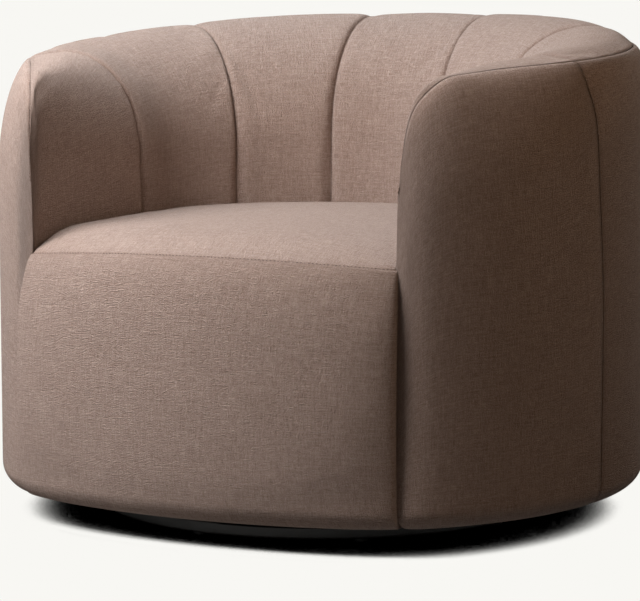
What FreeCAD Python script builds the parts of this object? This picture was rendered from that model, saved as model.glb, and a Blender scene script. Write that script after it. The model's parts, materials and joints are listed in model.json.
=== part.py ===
import FreeCAD, Part
import os
import Sketcher
from math import atan, cos, degrees, pi, radians, sin, sqrt
from FreeCAD import Placement, Vector

# Swivel armchair: a round tub with five sewn back channels, two arm pads and a tight seat,
# turning on a ball race over a hidden round plinth. Z is up, the front of the chair faces -Y,
# and the origin is on the floor below the swivel axis. Lengths are in millimetres.

doc = FreeCAD.newDocument("SwivelArmchair")
sheet = doc.addObject("Spreadsheet::Sheet", "Sizes")

sizes = {
    # the tub seen from above: a half round front, tighter rear corners and a flatter back
    "shellRadius": 475, "cornerTuck": 65, "cornerAngle": 65, "backAngle": 12.3,
    # heights, all of the tub's own counted from its lower edge
    "floorGap": 45, "seamHeight": 626, "seamRiseShare": 0.073, "crestRise": 20, "crestFallHeight": 152,
    # outer cover: a padded skin that turns in at the floor edge and at the top seam
    "skinThickness": 15, "lowerRound": 28, "upperRound": 60, "frontRound": 150, "seamInset": 22,
    "seamDraw": 26, "sideSeamAngle": 102, "frontDrawAngle": 144, "noseRadius": 90,
    "noseFromAngle": 136, "noseToAngle": 172, "noseDrop": 19, "noseInset": 25, "armEndDrop": 24,
    # sewn lines of the inside, as the angle of the outer path and the place at the seat
    "centreSeamAngle": 9.2, "shoulderSeamAngle": 55.3, "armSeamAngle": 106, "armEndAngle": 137,
    "centreFootAngle": 24.5, "shoulderFootAngle": 54, "squareAngle": 90, "armFootAngle": 98,
    "armThickness": 201, "backThickness": 230, "innerPowerShare": 1.25, "armTaper": 7, "armEndSetback": 135,
    "armSeamRise": 9, "armEndRise": 12, "armEndFall": 90, "armFootBehind": 51, "padTopThickness": 25,
    "channelDip": 9, "crestPlaceShare": 0.28, "padBackShare": 0.45,
    # seat
    "seatCrown": 400, "seatCrownRadius": 2600, "seatFrontSetback": 57, "seatFrontSagitta": 52,
    "seatFitGap": 11, "seatFrontBulge": 25, "frontPanelThickness": 44, "frontCorner": 24,
    "frontPanelTop": 354, "frontPanelEndGap": 6, "boardNoseAngle": 160,
    # wooden frame
    "boardThickness": 18, "softGap": 0.5, "padSeamGap": 1.1, "topRailOuterInset": 38,
    "topRailInnerInset": 80, "middleRailOuterInset": 15.5, "railInnerInset": 84,
    "middleRailHeight": 300, "railEndAngle": 122, "postRadial": 34, "postWidth": 44, "postInset": 42,
    "frontPostAngle": 117, "sidePostAngle": 84, "rearPostAngle": 38, "boxSideInset": 34,
    "boxBackInset": 85, "boxTop": 300, "blockSide": 45, "frontBoardInset": 24, "strapWidth": 50,
    "strapThickness": 1.5, "strapPitch": 82, "strapCount": 5, "crossPitch": 78, "crossCount": 5,
    # dust cover
    "clothThickness": 1.2, "clothGap": 0.3, "clothInset": 6, "clothHoleGap": 25,
    # plinth and glides
    "plinthSetback": 145, "plinthThickness": 18, "plinthHoleRadius": 32, "plinthRound": 3,
    "glideHeight": 10, "glideRadius": 11, "glideInset": 30, "glideCount": 8, "glideStartAngle": 35.4,
    "glideEdge": 2, "glideScrewRadius": 2, "glideScrewHead": 4, "glideScrewHeadHeight": 2.5,
    "glideScrewLength": 20, "screwGap": 0.1,
    # swivel: two pressed plates, two races, a caged ring of balls and a centre bolt
    "plateThickness": 2.5, "plateRimWidth": 40, "plateHoleOffset": 22, "plateHoleCount": 6,
    "plateScrewRadius": 2.5, "plateScrewHead": 4.8, "plateScrewHeadHeight": 3, "plateScrewLength": 14,
    "mechanismHeight": 21, "raceRadius": 110, "raceHalfWidth": 11, "raceHeight": 6, "ballRadius": 5,
    "ballGap": 0.1, "ballCount": 16, "cageThickness": 2.5, "cageHalfWidth": 8, "pocketGap": 0.25,
    "boltRadius": 6, "boltFit": 0.05, "boltHead": 10, "boltHeadHeight": 7, "boltTail": 3,
    "washerRadius": 15, "washerThickness": 2.5, "nutAcross": 19, "nutHeight": 10, "bushWall": 3,
    "bushFlange": 5, "bushFlangeThickness": 2, "bushLift": 0.3, "boreFit": 0.1,
}
# sizes that follow from others
derived = {
    "cornerRadius": "=shellRadius - cornerTuck",
    "innerHalfWidth": "=shellRadius - armThickness",
    "innerDepth": "=shellRadius - backThickness",
    "innerFrontHalfWidth": "=shellRadius - armThickness + armTaper",
    "armEndDepth": "=shellRadius - armEndSetback",
    "seatFrontDepth": "=shellRadius - seatFrontSetback",
    "seatTopBottom": "=frontPanelTop + softGap",
    "foamBottom": "=boxTop + 2 * strapThickness + softGap",
    "boxHalfWidth": "=shellRadius - armThickness - boxSideInset",
    "boxBack": "=shellRadius - backThickness - boxBackInset",
    "frontBoardHalfWidth": "=shellRadius - armThickness - frontBoardInset",
    "plinthRadius": "=shellRadius - plinthSetback",
    "glideCircle": "=shellRadius - plinthSetback - glideInset",
    "glideScrewHole": "=glideScrewRadius + screwGap",
    "plateRadius": "=raceRadius + plateRimWidth",
    "plateHoleCircle": "=raceRadius + plateHoleOffset",
    "plateScrewHole": "=plateScrewRadius + screwGap",
    "clothHoleRadius": "=raceRadius + plateRimWidth + clothHoleGap",
    "cageOuterRadius": "=raceRadius + cageHalfWidth",
    "cageInnerRadius": "=raceRadius - cageHalfWidth",
    "pocketRadius": "=ballRadius + pocketGap",
    "boltHole": "=boltRadius + boreFit",
    "bushRadius": "=boltRadius + boltFit + bushWall",
    "plateBase": "=glideHeight + plinthThickness",
    "turnBase": "=glideHeight + plinthThickness + mechanismHeight",
    "upperPlateFoot": "=glideHeight + plinthThickness + mechanismHeight - plateThickness",
    "boxFoot": "=glideHeight + plinthThickness + mechanismHeight + boardThickness",
}
for row, (alias, value) in enumerate({**sizes, **derived}.items(), 1):
    sheet.set("A%d" % row, alias)
    sheet.set("B%d" % row, str(value))
    sheet.setAlias("B%d" % row, alias)
doc.recompute()


def mm(alias):
    return float(sheet.get(alias))


def bind(obj, prop, expression):
    obj.setExpression(prop, expression)


def vec(x, y, z=0):
    return Vector(x, y, z)


# the tub's plan: angles run from straight back, 0, round to straight front, 180

def planArcs(inset):
    """Centres, radii and the angles at which each arc of the plan starts."""
    corner, back = radians(mm("cornerAngle")), radians(mm("backAngle"))
    reach = mm("shellRadius") - mm("cornerRadius")
    cornerX, cornerY = sin(corner) * reach, cos(corner) * reach
    backRadius = mm("cornerRadius") + cornerX / sin(back)
    backY = cornerY - cos(back) * (backRadius - mm("cornerRadius"))
    return [
        (0.0, backY, backRadius - inset, 0.0),
        (cornerX, cornerY, mm("cornerRadius") - inset, mm("backAngle")),
        (0.0, 0.0, mm("shellRadius") - inset, mm("cornerAngle")),
    ]


def planPoint(angle, inset=0.0):
    """Point of the right half of the plan, moved inwards by an inset."""
    side = -1 if angle < 0 else 1
    angle = abs(angle)
    for x, y, radius, start in planArcs(inset):
        if angle >= start:
            place = vec(x + radius * sin(radians(angle)), y + radius * cos(radians(angle)))
    return vec(side * place.x, place.y)


def planEdges(inset, fromAngle, toAngle):
    """Arcs of the right half of the plan between two angles."""
    starts = [arc[3] for arc in planArcs(inset)[1:]]
    stops = sorted([fromAngle, toAngle] + [a for a in starts if fromAngle < a < toAngle])
    edges = []
    for a, b in zip(stops, stops[1:]):
        edges.append(Part.Arc(planPoint(a, inset), planPoint((a + b) / 2, inset), planPoint(b, inset)))
    return edges


def mirrored(point):
    return vec(-point.x, point.y, point.z)


def mirroredArc(arc):
    a, b = arc.FirstParameter, arc.LastParameter
    return Part.Arc(*[mirrored(arc.value(t)) for t in (b, (a + b) / 2, a)])


def bandOutline(outerInset, innerInset, endAngle):
    """Open hoop round the back: outer arcs, an end, inner arcs and the other end."""
    outer = planEdges(outerInset, 0.0, endAngle)
    inner = planEdges(innerInset, 0.0, endAngle)
    mirrors = [mirroredArc(e) for e in outer + inner]
    ends = []
    for angle in (endAngle, -endAngle):
        ends.append(Part.LineSegment(planPoint(angle, outerInset), planPoint(angle, innerInset)))
    return outer + inner + mirrors + ends


# how far the middle of a quarter arc stands off its ends, as a share of its radius
near = 1 - cos(pi / 4)


def noseCentre():
    reach = mm("shellRadius") - mm("noseRadius")
    angle = radians(mm("noseFromAngle"))
    return vec(reach * sin(angle), reach * cos(angle))


def nosePoint(angle, inset=0.0):
    turn = radians(angle)
    reach = mm("noseRadius") - inset
    return noseCentre() + vec(reach * sin(turn), reach * cos(turn))


def floorOutline(inset, frontInset):
    """The whole plan, closed across the front behind the seat's front panel."""
    start, end = mm("noseFromAngle"), mm("boardNoseAngle")
    left, middle, right = frontArc(-(mm("frontPanelThickness") + frontInset), mm("innerFrontHalfWidth"))
    arcs = planEdges(inset, 0.0, start)
    arcs.append(Part.Arc(nosePoint(start, inset), nosePoint((start + end) / 2, inset), nosePoint(end, inset)))
    corner = nosePoint(end, inset)
    lines = [Part.LineSegment(corner, right), Part.LineSegment(mirrored(corner), left)]
    return arcs + [mirroredArc(arc) for arc in arcs] + lines + [Part.Arc(left, middle, right)]


# helpers that make objects of the document

def plane(body, role):
    for feature in body.Origin.OriginFeatures:
        if feature.Role == role:
            return feature


def newBody(label, height):
    body = doc.addObject("PartDesign::Body", label)
    body.Label = label
    bind(body, "Placement.Base.z", height)
    return body


def sketchOn(body, name, role="XY_Plane"):
    sketch = body.newObject("Sketcher::SketchObject", body.Name + "_" + name)
    sketch.AttachmentSupport = [(plane(body, role), "")]
    sketch.MapMode = "FlatFace"
    return sketch


def circleIn(sketch, centre, radiusName):
    index = sketch.addGeometry(Part.Circle(centre, vec(0, 0, 1), mm(radiusName)), False)
    number = sketch.addConstraint(Sketcher.Constraint("Radius", index, mm(radiusName)))
    sketch.setExpression("Constraints[%d]" % number, "Sizes." + radiusName)


def pad(body, sketch, length):
    feature = body.newObject("PartDesign::Pad", sketch.Name + "_Pad")
    feature.Profile = sketch
    bind(feature, "Length", length)
    sketch.Visibility = False
    return feature


def drill(body, name, centres, radiusName):
    """Through holes from one sketch of circles."""
    sketch = sketchOn(body, name)
    for centre in centres:
        circleIn(sketch, centre, radiusName)
    pocket = body.newObject("PartDesign::Pocket", sketch.Name + "_Pocket")
    pocket.Profile = sketch
    pocket.Type = 1
    pocket.Midplane = True
    return pocket


def boardBody(label, edges, thickness, height):
    body = newBody(label, height)
    sketch = sketchOn(body, "Outline")
    sketch.addGeometry(edges, False)
    pad(body, sketch, thickness)
    return body


def turnedBody(label, profile, height):
    """A turned piece: closed lines and arcs in the XZ plane, revolved about Z."""
    body = newBody(label, height)
    sketch = sketchOn(body, "Profile", "XZ_Plane")
    sketch.addGeometry(profile, False)
    turn = body.newObject("PartDesign::Revolution", label + "_Turn")
    turn.Profile = sketch
    turn.ReferenceAxis = (sketch, ["V_Axis"])
    turn.Angle = 360
    return body


def polygon(points):
    return [Part.LineSegment(a, b) for a, b in zip(points, points[1:] + points[:1])]


def part(label, shape):
    feature = doc.addObject("Part::Feature", label)
    feature.Label = label
    feature.Shape = shape
    feature.Placement = Placement()
    return feature


def around(shape, count, start=0.0):
    turns = []
    for step in range(int(count)):
        copy = shape.copy()
        copy.rotate(vec(0, 0), vec(0, 0, 1), start + step * 360.0 / count)
        turns.append(copy)
    return Part.makeCompound(turns)


def circlePlaces(radius, count, start=0.0):
    angles = [radians(start + step * 360.0 / count) for step in range(int(count))]
    return [vec(radius * cos(a), radius * sin(a)) for a in angles]


def screw(kind, headSign):
    """A screw of a named kind on the Z axis, its tapered head on the side that headSign gives."""
    headRadius, headHeight = mm(kind + "Head"), mm(kind + "HeadHeight")
    shank = Part.makeCylinder(mm(kind + "Radius"), mm(kind + "Length"), vec(0, 0), vec(0, 0, -headSign))
    head = Part.makeCone(headRadius, headRadius - headHeight / 2, headHeight, vec(0, 0), vec(0, 0, headSign))
    return head.fuse(shank)


# base: plinth, glides and the fixed half of the swivel

bottom = mm("floorGap")
plateBase = mm("plateBase")
glideTurn = mm("glideStartAngle") - mm("squareAngle")


def makePlinth():
    body = newBody("plinth_board", "Sizes.glideHeight")
    sketch = sketchOn(body, "Outline")
    circleIn(sketch, vec(0, 0), "plinthRadius")
    circleIn(sketch, vec(0, 0), "plinthHoleRadius")
    pad(body, sketch, "Sizes.plinthThickness")
    glides = circlePlaces(mm("glideCircle"), mm("glideCount"), glideTurn)
    drill(body, "GlideHoles", glides, "glideScrewHole")
    plates = circlePlaces(mm("plateHoleCircle"), mm("plateHoleCount"))
    drill(body, "PlateHoles", plates, "plateScrewHole")
    doc.recompute()
    base = body.Tip
    rims = []
    for number, edge in enumerate(base.Shape.Edges, 1):
        if abs(edge.BoundBox.XLength - 2 * mm("plinthRadius")) < mm("plinthRound"):
            rims.append("Edge%d" % number)
    fillet = body.newObject("PartDesign::Fillet", "PlinthRims")
    fillet.Base = (base, rims)
    bind(fillet, "Radius", "Sizes.plinthRound")


def makeGlides():
    edge, radius, height = mm("glideEdge"), mm("glideRadius"), mm("glideHeight")
    glide = Part.makeCylinder(radius, height - edge, vec(0, 0, edge))
    glide = glide.fuse(Part.makeCone(radius - edge, radius, edge))
    sink = mm("glideScrewHead") + mm("screwGap")
    glide = glide.cut(Part.makeCylinder(mm("glideScrewHole"), height))
    glide = glide.cut(Part.makeCylinder(sink, height / 2)).removeSplitter()
    glide.translate(vec(mm("glideCircle"), 0))
    part("floor_glides", around(glide, mm("glideCount"), glideTurn))
    fixing = screw("glideScrew", -1)
    fixing.translate(vec(mm("glideCircle"), 0, height / 2))
    part("glide_screws", around(fixing, mm("glideCount"), glideTurn))


def makePlate(label, height, boreName):
    body = newBody(label, height)
    sketch = sketchOn(body, "Outline")
    circleIn(sketch, vec(0, 0), "plateRadius")
    circleIn(sketch, vec(0, 0), boreName)
    pad(body, sketch, "Sizes.plateThickness")
    drill(body, "Holes", circlePlaces(mm("plateHoleCircle"), mm("plateHoleCount")), "plateScrewHole")


def raceProfile(up):
    """Rectangle with the ball groove cut in its upper or lower face, seen from its own foot."""
    radius, half, height = mm("raceRadius"), mm("raceHalfWidth"), mm("raceHeight")
    groove = mm("ballRadius") + mm("ballGap")
    middle = mm("mechanismHeight") / 2 - mm("plateThickness")
    reach = sqrt(groove ** 2 - (middle - height) ** 2)
    points = [vec(radius - reach, height), vec(radius - half, height), vec(radius - half, 0),
              vec(radius + half, 0), vec(radius + half, height), vec(radius + reach, height)]
    flip = 1 if up else -1
    points = [vec(p.x, flip * p.y) for p in points]
    lines = [Part.LineSegment(a, b) for a, b in zip(points, points[1:])]
    return lines + [Part.Arc(points[-1], vec(radius, flip * (middle - groove)), points[0])]


def makeSwivel():
    makePlate("lower_swivel_plate", "Sizes.plateBase", "boltHole")
    makePlate("upper_swivel_plate", "Sizes.upperPlateFoot", "bushRadius")
    turnedBody("lower_race", raceProfile(True), "Sizes.plateBase + Sizes.plateThickness")
    turnedBody("upper_race", raceProfile(False), "Sizes.upperPlateFoot")
    fixing = screw("plateScrew", 1)
    fixing.translate(vec(mm("plateHoleCircle"), 0, plateBase + mm("plateThickness")))
    part("lower_plate_screws", around(fixing, mm("plateHoleCount")))
    fixing = screw("plateScrew", -1)
    fixing.translate(vec(mm("plateHoleCircle"), 0, mm("upperPlateFoot")))
    part("upper_plate_bolts", around(fixing, mm("plateHoleCount")))


def makeBearing():
    middle = plateBase + mm("mechanismHeight") / 2
    ball = Part.makeSphere(mm("ballRadius"), vec(mm("raceRadius"), 0, middle))
    part("bearing_balls", around(ball, mm("ballCount")))
    body = newBody("ball_cage", "Sizes.plateBase + (Sizes.mechanismHeight - Sizes.cageThickness) / 2")
    sketch = sketchOn(body, "Outline")
    circleIn(sketch, vec(0, 0), "cageOuterRadius")
    circleIn(sketch, vec(0, 0), "cageInnerRadius")
    pad(body, sketch, "Sizes.cageThickness")
    drill(body, "Pockets", circlePlaces(mm("raceRadius"), mm("ballCount")), "pocketRadius")


def makePivot():
    """Centre bolt through both plates, its bush in the turning plate, washer and lock nut above."""
    flangeTop = mm("turnBase") + mm("bushFlangeThickness")
    washerFoot = flangeTop + mm("bushLift")
    nutFoot = washerFoot + mm("washerThickness")
    boltTop = nutFoot + mm("nutHeight") + mm("boltTail")
    headFoot = plateBase - mm("boltHeadHeight")
    head = Part.makeCylinder(mm("boltHead"), mm("boltHeadHeight"), vec(0, 0, headFoot))
    shank = Part.makeCylinder(mm("boltRadius"), boltTop - plateBase, vec(0, 0, plateBase))
    part("pivot_bolt", head.fuse(shank).removeSplitter())
    bore = mm("boltHole")
    washer = Part.makeCylinder(mm("washerRadius"), mm("washerThickness"), vec(0, 0, washerFoot))
    part("pivot_washer", washer.cut(Part.makeCylinder(bore, boltTop)))
    corner = mm("nutAcross") / sqrt(3)
    corners = [vec(corner * cos(k * pi / 3), corner * sin(k * pi / 3), nutFoot) for k in range(7)]
    nut = Part.Face(Part.makePolygon(corners)).extrude(vec(0, 0, mm("nutHeight")))
    part("lock_nut", nut.cut(Part.makeCylinder(bore, 2 * boltTop)))
    inner, outer = mm("boltRadius") + mm("boltFit"), mm("bushRadius")
    flange = outer + mm("bushFlange")
    foot, top = -2 * mm("plateThickness"), mm("bushFlangeThickness")
    wall = outer - mm("boreFit")
    profile = [vec(inner, foot), vec(wall, foot), vec(wall, 0)]
    profile += [vec(flange, 0), vec(flange, top), vec(inner, top)]
    turnedBody("pivot_bush", polygon(profile), "Sizes.turnBase")


# frame of the tub

def makeFrame():
    outline = floorOutline(mm("lowerRound") + mm("softGap"), 4 * mm("softGap"))
    body = boardBody("bottom_board", outline, "Sizes.boardThickness", "Sizes.turnBase")
    drill(body, "PivotHole", [vec(0, 0)], "plinthHoleRadius")
    drill(body, "PlateHoles", circlePlaces(mm("plateHoleCircle"), mm("plateHoleCount")), "plateScrewHole")
    outline = floorOutline(mm("lowerRound") + mm("clothInset"), 2 * mm("clothInset"))
    cloth = boardBody("dust_cover", outline, "Sizes.clothThickness",
                      "Sizes.turnBase - Sizes.clothThickness - Sizes.clothGap")
    drill(cloth, "PlateHole", [vec(0, 0)], "clothHoleRadius")
    outline = bandOutline(mm("middleRailOuterInset"), mm("railInnerInset"), mm("railEndAngle"))
    boardBody("middle_rail", outline, "Sizes.boardThickness", "Sizes.floorGap + Sizes.middleRailHeight")
    outline = bandOutline(mm("topRailOuterInset"), mm("topRailInnerInset"), mm("railEndAngle"))
    top = "Sizes.floorGap + Sizes.seamHeight - Sizes.padTopThickness"
    rail = boardBody("top_rail", outline, "Sizes.boardThickness", top + " - Sizes.boardThickness")
    bind(rail, "Placement.Rotation.Axis.x", "1")
    bind(rail, "Placement.Rotation.Axis.z", "0")
    bind(rail, "Placement.Rotation.Angle", "atan(Sizes.seamRiseShare)")


def railUnder(y):
    """Height of the sloping top rail's lower face at a distance y."""
    slope = mm("seamRiseShare")
    drop = mm("boardThickness")
    return bottom + mm("seamHeight") - mm("padTopThickness") - drop + slope * y


def postAt(angle, foot, sloped):
    """A square post on the rails at a plan angle, cut to the slope where it meets the top rail."""
    place = planPoint(angle, mm("postInset") + mm("postRadial") / 2)
    turn = mm("squareAngle") - abs(angle)
    top = bottom + mm("middleRailHeight")
    if sloped:
        top = railUnder(place.y) + mm("postWidth")
    corner = vec(-mm("postRadial") / 2, -mm("postWidth") / 2, foot)
    post = Part.makeBox(mm("postRadial"), mm("postWidth"), top - foot, corner)
    post.rotate(vec(0, 0), vec(0, 0, 1), turn if angle > 0 else 180 - turn)
    post.translate(place)
    if sloped:
        side = mm("shellRadius") * 2
        above = Part.makeBox(side, side, side, vec(-side / 2, -side / 2, 0))
        above.rotate(vec(0, 0), vec(1, 0, 0), degrees(atan(mm("seamRiseShare"))))
        above.translate(vec(0, 0, railUnder(0)))
        post = post.cut(above)
    return post


def makePosts():
    angles = [s * mm(name) for name in ("frontPostAngle", "sidePostAngle", "rearPostAngle") for s in (1, -1)]
    highFoot = bottom + mm("middleRailHeight") + mm("boardThickness")
    part("lower_posts", Part.makeCompound([postAt(a, mm("boxFoot"), False) for a in angles]))
    part("upper_posts", Part.makeCompound([postAt(a, highFoot, True) for a in angles]))


# seat box, straps and seat

def frontArc(push, halfWidth):
    """Arc of the seat's front at a push outwards, cut at a half width."""
    depth, sagitta, half = mm("seatFrontDepth"), mm("seatFrontSagitta"), mm("innerFrontHalfWidth")
    edge = -(depth + push - sagitta * (halfWidth / half) ** 2)
    return vec(-halfWidth, edge), vec(0, -(depth + push)), vec(halfWidth, edge)


def makeSeatBox():
    foot = "Sizes.boxFoot"
    tall = "Sizes.floorGap + Sizes.boxTop - Sizes.boxFoot"
    inset = -(mm("frontPanelThickness") + mm("softGap"))
    a, b, c = frontArc(inset, mm("frontBoardHalfWidth"))
    d, e, f = frontArc(inset - mm("boardThickness"), mm("frontBoardHalfWidth"))
    edges = [Part.Arc(a, b, c), Part.LineSegment(c, f), Part.Arc(f, e, d), Part.LineSegment(d, a)]
    boardBody("front_board", edges, tall, foot)
    half, thick = mm("boxHalfWidth"), mm("boardThickness")
    low = mm("boxFoot")
    height = bottom + mm("boxTop") - low
    front = boxFront(half)
    long = mm("boxBack") - front
    sides = [Part.makeBox(thick, long, height, vec(x, front, low)) for x in (-half, half - thick)]
    part("seat_side_boards", Part.makeCompound(sides))
    box = doc.addObject("Part::Box", "seat_back_board")
    box.Label = "seat_back_board"
    bind(box, "Length", "2 * Sizes.boxHalfWidth")
    bind(box, "Width", "Sizes.boardThickness")
    bind(box, "Height", tall)
    bind(box, "Placement.Base.x", "-Sizes.boxHalfWidth")
    bind(box, "Placement.Base.y", "Sizes.boxBack")
    bind(box, "Placement.Base.z", foot)
    side = mm("blockSide")
    blocks = []
    for sx in (1, -1):
        for y, sy in ((mm("boxBack"), -1), (front, 1)):
            corner = vec(sx * (half - thick), y, low)
            points = [corner, corner + vec(-sx * side, 0), corner + vec(0, sy * side), corner]
            blocks.append(Part.Face(Part.makePolygon(points)).extrude(vec(0, 0, height)))
    part("corner_blocks", Part.makeCompound(blocks))


def boxFront(x):
    """Back face of the bowed front board at a distance x from the middle."""
    inset = mm("frontPanelThickness") + 2 * mm("softGap") + mm("boardThickness")
    return frontArc(-inset, abs(x))[2].y


def makeStraps():
    """Webbing nailed over the seat box, lengthwise first and crosswise on top."""
    foot = bottom + mm("boxTop")
    wide, thick, pitch = mm("strapWidth"), mm("strapThickness"), mm("strapPitch")
    back = mm("boxBack") + mm("boardThickness")
    straps = []
    for k in range(int(mm("strapCount"))):
        x = (k - (mm("strapCount") - 1) / 2) * pitch
        front = boxFront(x) - mm("boardThickness") / 2
        straps.append(Part.makeBox(wide, back - front, thick, vec(x - wide / 2, front, foot)))
    part("webbing_lengthwise", Part.makeCompound(straps))
    half, pitch = mm("boxHalfWidth"), mm("crossPitch")
    start = boxFront(half) + wide
    rows = [start + k * pitch for k in range(int(mm("crossCount")))]
    straps = [Part.makeBox(2 * half, wide, thick, vec(-half, y - wide / 2, foot + thick)) for y in rows]
    part("webbing_crosswise", Part.makeCompound(straps))


def innerPoint(footAngle, inset=0.0):
    """Foot of the tub's inner wall at the seat: straight back is 0, and past 90 it runs along the arm."""
    power = mm("innerPowerShare")
    square = mm("squareAngle")
    turn = radians(min(abs(footAngle), square))
    x = (mm("innerHalfWidth") - inset) * sin(turn) ** power
    y = (mm("innerDepth") - inset) * max(cos(turn), 0) ** power
    if abs(footAngle) > square:
        y = -mm("armFootBehind") * (abs(footAngle) - square) / (mm("armFootAngle") - square)
    return vec(x if footAngle >= 0 else -x, y)


def seatOutline(frontInset):
    """Seat seen from above: bowed front, straight arm sides and a drawn-in round back."""
    gap = mm("seatFitGap")
    a, b, c = frontArc(-frontInset, mm("innerFrontHalfWidth") - gap)
    arm = vec(mm("innerHalfWidth") - gap, -mm("armFootBehind"))
    stops = [innerPoint(t, gap) for t in (mm("shoulderFootAngle"), mm("centreFootAngle"))]
    corner = innerPoint((mm("squareAngle") + mm("shoulderFootAngle")) / 2, gap)
    between = innerPoint((mm("centreFootAngle") + mm("shoulderFootAngle")) / 2, gap)
    right = [Part.LineSegment(c, arm), Part.Arc(arm, corner, stops[0]), Part.Arc(stops[0], between, stops[1])]
    left = [Part.LineSegment(mirrored(c), mirrored(arm))] + [mirroredArc(e) for e in right[1:]]
    return [Part.Arc(a, b, c)] + right + left + [Part.Arc(stops[1], innerPoint(0, gap), mirrored(stops[1]))]


def makeSeat():
    behind = mm("frontPanelThickness") + mm("softGap")
    boardBody("seat_foam", seatOutline(behind), "Sizes.frontPanelTop - Sizes.foamBottom",
              "Sizes.floorGap + Sizes.foamBottom")
    block = boardBody("seat_top_block", seatOutline(0), "Sizes.seatCrown",
                      "Sizes.floorGap + Sizes.seatTopBottom")
    dome = doc.addObject("Part::Sphere", "seat_top_dome")
    bind(dome, "Radius", "Sizes.seatCrownRadius")
    bind(dome, "Placement.Base.z", "Sizes.floorGap + Sizes.seatCrown - Sizes.seatCrownRadius")
    top = doc.addObject("Part::MultiCommon", "seat_top_panel")
    top.Label = "seat_top_panel"
    top.Shapes = [block, dome]


def frontPanelLevel(height, push):
    """One level of the seat's front panel: bowed face, rounded ends and a plain back."""
    end = mm("innerFrontHalfWidth") - mm("frontPanelEndGap")
    corner = mm("frontCorner")
    thick = mm("frontPanelThickness")
    a, b, c = frontArc(push, end - corner)
    d, e, f = frontArc(-thick, end)
    endY = c.y + corner
    tip = vec(end, endY)
    bulge = vec(end - corner * near, c.y + corner * near)
    flat = (a, b, c, bulge, tip, f, e, d, mirrored(tip), mirrored(bulge))
    points = [p + vec(0, 0, height) for p in flat]
    a, b, c, bulge, tip, f, e, d, tipLeft, bulgeLeft = points
    curves = [Part.Arc(a, b, c), Part.Arc(c, bulge, tip), Part.LineSegment(tip, f), Part.Arc(f, e, d),
              Part.LineSegment(d, tipLeft), Part.Arc(tipLeft, bulgeLeft, a)]
    return Part.Wire([curve.toShape() for curve in curves])


def makeFrontPanel():
    bulge, top, turn = mm("seatFrontBulge"), mm("frontPanelTop"), mm("lowerRound")
    turnShares = [(0.0, -0.35), (0.3, 0.4), (1.0, 0.75)]
    faceShares = [(0.2, 0.92), (0.45, 1.0), (0.72, 0.88), (0.93, 0.5), (1.0, 0.05)]
    levels = [(turn * up, turn * out) for up, out in turnShares]
    levels += [(top * up, bulge * out) for up, out in faceShares]
    wires = [frontPanelLevel(bottom + height, push) for height, push in levels]
    part("seat_front_panel", Part.makeLoft(wires, True, False, False, 3))


# soft skin of the tub

def seamInset(angle):
    """How far inside the plan the top seam runs: drawn further in along the arms."""
    angle = abs(angle)
    draw = 0.0
    if angle > mm("armSeamAngle"):
        share = (angle - mm("armSeamAngle")) / (mm("frontDrawAngle") - mm("armSeamAngle"))
        draw = mm("seamDraw") * (1 - cos(2 * pi * min(share, 1))) / 2
    return mm("seamInset") + draw


def seamTop(angle, y):
    """Height of the top seam: a slope to the back, falling off towards the arm's front."""
    fall = 0.0
    start = mm("sideSeamAngle") + (mm("armEndAngle") - mm("sideSeamAngle")) / 2
    if abs(angle) > start:
        share = (abs(angle) - start) / (mm("armEndAngle") - start)
        fall = mm("armEndDrop") * share ** 2
    return bottom + mm("seamHeight") + mm("seamRiseShare") * y - fall


def skinSection(place, inward, seamIn, seamZ, roundHeight):
    """Upright slice through the outer skin, from the turned lower edge to the top seam."""
    thick, low = mm("skinThickness"), mm("lowerRound")

    def at(depth, height):
        return place + inward * depth + vec(0, 0, height)

    top = seamZ
    start = top - roundHeight
    lower = at(low, bottom)
    p = [lower, at(low * near, bottom + low * near), at(0, bottom + low), at(0, start),
         at(seamIn * near, top - roundHeight * near), at(seamIn, top), at(seamIn, top - thick),
         at(thick + (seamIn - thick) * near, top - thick - (roundHeight - thick) * near),
         at(thick, start), at(thick, bottom + low), at(low, bottom + thick)]
    curves = [Part.Arc(p[0], p[1], p[2]), Part.LineSegment(p[2], p[3]), Part.Arc(p[3], p[4], p[5]),
              Part.LineSegment(p[5], p[6]), Part.Arc(p[6], p[7], p[8]), Part.LineSegment(p[8], p[9]),
              Part.LineSegment(p[9], p[10]), Part.LineSegment(p[10], p[0])]
    return Part.Wire([curve.toShape() for curve in curves])


def skinStation(angle, side):
    """Skin slice at a plan angle; past the nose's start it goes round the arm's front."""
    nose = mm("noseFromAngle")
    if angle <= nose:
        place = planPoint(angle)
        inward = (planPoint(angle, mm("skinThickness")) - place).normalize()
        inset = seamInset(angle)
        share = max(0, (angle - mm("sideSeamAngle")) / (nose - mm("sideSeamAngle")))
        height = mm("upperRound") + (mm("frontRound") - mm("upperRound")) * share
        top = seamTop(angle, planPoint(angle, inset).y)
    else:
        place = nosePoint(angle)
        inward = (nosePoint(angle, mm("skinThickness")) - place).normalize()
        share = (angle - nose) / (mm("noseToAngle") - nose)
        inset = seamInset(nose) + (mm("noseInset") - seamInset(nose)) * share
        height = mm("frontRound")
        top = seamTop(nose, planPoint(nose, inset).y) - mm("noseDrop") * share
    if side < 0:
        place, inward = mirrored(place), mirrored(inward)
    return skinSection(place, inward, inset, top, height)


flankShares = [0, 0.2, 0.45, 0.7, 1]
noseShares = [0.5, 1]
backShares = [1, 0.82, 0.64, 0.46, 0.28, 0.12]


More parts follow.
